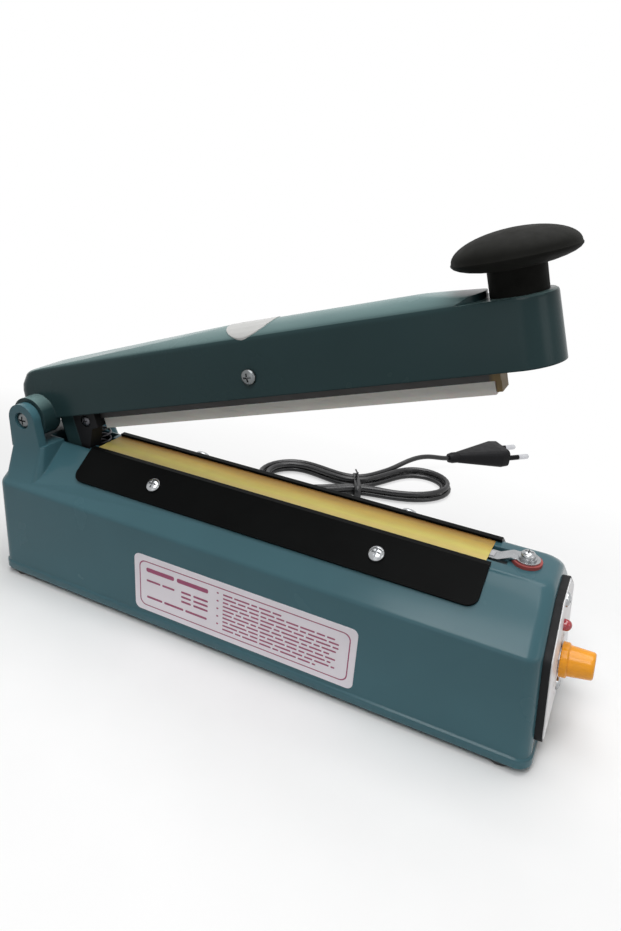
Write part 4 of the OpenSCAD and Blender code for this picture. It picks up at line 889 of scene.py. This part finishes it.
# The object is long, so distances from it count for less along X; the fades' ends are in mm
FOOTPRINT = (0.45, 1, 1)
BOUNCE_FADE = (90, 200)
WHITE_FADE = (70, 240)
AMBIENT = 0.06
WHITE = (1, 1, 1, 1)


def seen_directly(tree):
    """1 for rays from the camera, straight or by reflection or glass, 0 for those that carry light."""
    path = node(tree, "LightPath").outputs
    bent = math_node(tree, "MAXIMUM", path["Is Glossy Ray"], path["Is Transmission Ray"])
    return math_node(tree, "MAXIMUM", path["Is Camera Ray"], bent)


def floor_material():
    """Pale with the shadow by the object; further off white to the camera, with little light thrown back."""
    material = bpy.data.materials.new("studio_floor")
    material.use_nodes = True
    tree = material.node_tree
    shader = tree.nodes["Principled BSDF"]
    coords = node(tree, "TexCoord").outputs["Object"]
    tone = two_tones(tree, noise(tree, coords, FLOOR_PATCH, PATCH_DETAIL), *FLOOR_TONES)
    footprint = node(tree, "VectorMath", {"operation": "MULTIPLY"}, Vector=coords)
    footprint.inputs[1].default_value = FOOTPRINT
    beside = node(tree, "VectorMath", {"operation": "LENGTH"}, Vector=footprint.outputs["Vector"])
    dim, white = (spread(tree, beside.outputs["Value"], 0.0, 1.0, start * MM, end * MM)
                  for start, end in (BOUNCE_FADE, WHITE_FADE))
    unseen = math_node(tree, "SUBTRACT", 1.0, seen_directly(tree))
    dimmed = mix_colours(tree, math_node(tree, "MULTIPLY", dim, unseen), tone, (*FLOOR_FAR, 1))
    tree.links.new(dimmed, shader.inputs["Base Color"])
    shader.inputs["Roughness"].default_value = FLOOR_ROUGHNESS
    shader.inputs["Specular IOR Level"].default_value = 0.0
    glow = node(tree, "Emission", Color=WHITE, Strength=1.0)
    mixed = node(tree, "MixShader", Fac=math_node(tree, "MULTIPLY", white, seen_directly(tree)))
    tree.links.new(shader.outputs["BSDF"], mixed.inputs[1])
    tree.links.new(glow.outputs["Emission"], mixed.inputs[2])
    tree.links.new(mixed.outputs["Shader"], tree.nodes["Material Output"].inputs["Surface"])
    return material


floor = mesh_object("floor", [(-FLOOR_HALF, -FLOOR_HALF, 0), (FLOOR_HALF, -FLOOR_HALF, 0),
                              (FLOOR_HALF, FLOOR_HALF, 0), (-FLOOR_HALF, FLOOR_HALF, 0)], [(0, 1, 2, 3)])
floor.data.materials.append(floor_material())


def area_light(name, place_mm, target_mm, size_mm, watts):
    """Square soft light at one place that shines towards another."""
    light = bpy.data.lights.new(name, "AREA")
    light.size = size_mm * MM
    light.energy = watts
    toward = Vector(target_mm) - Vector(place_mm)
    turned = toward.to_track_quat("-Z", "Y").to_matrix().to_4x4()
    add_object(name, light).matrix_world = Matrix.Translation(Vector(place_mm) * MM) @ turned


area_light("key", (80, -480, 760), (0, 0, 60), 360, 2.6)
area_light("overhead", (30, 120, 800), (0, 20, 0), 620, 5.2)
area_light("right_fill", (700, -160, 330), (90, 0, 70), 300, 0.5)
area_light("front_fill", (60, -800, 160), (0, 0, 60), 420, 0.36)

world = bpy.data.worlds.new("studio")
world.use_nodes = True
scene.world = world
sky = world.node_tree
ambient = sky.nodes["Background"]
ambient.inputs["Color"].default_value = WHITE
ambient.inputs["Strength"].default_value = AMBIENT
beyond = node(sky, "Background", Color=WHITE, Strength=1.0)
either = node(sky, "MixShader", Fac=seen_directly(sky))
sky.links.new(ambient.outputs["Background"], either.inputs[1])
sky.links.new(beyond.outputs["Background"], either.inputs[2])
sky.links.new(either.outputs["Shader"], sky.nodes["World Output"].inputs["Surface"])
scene.view_settings.view_transform = "Standard"
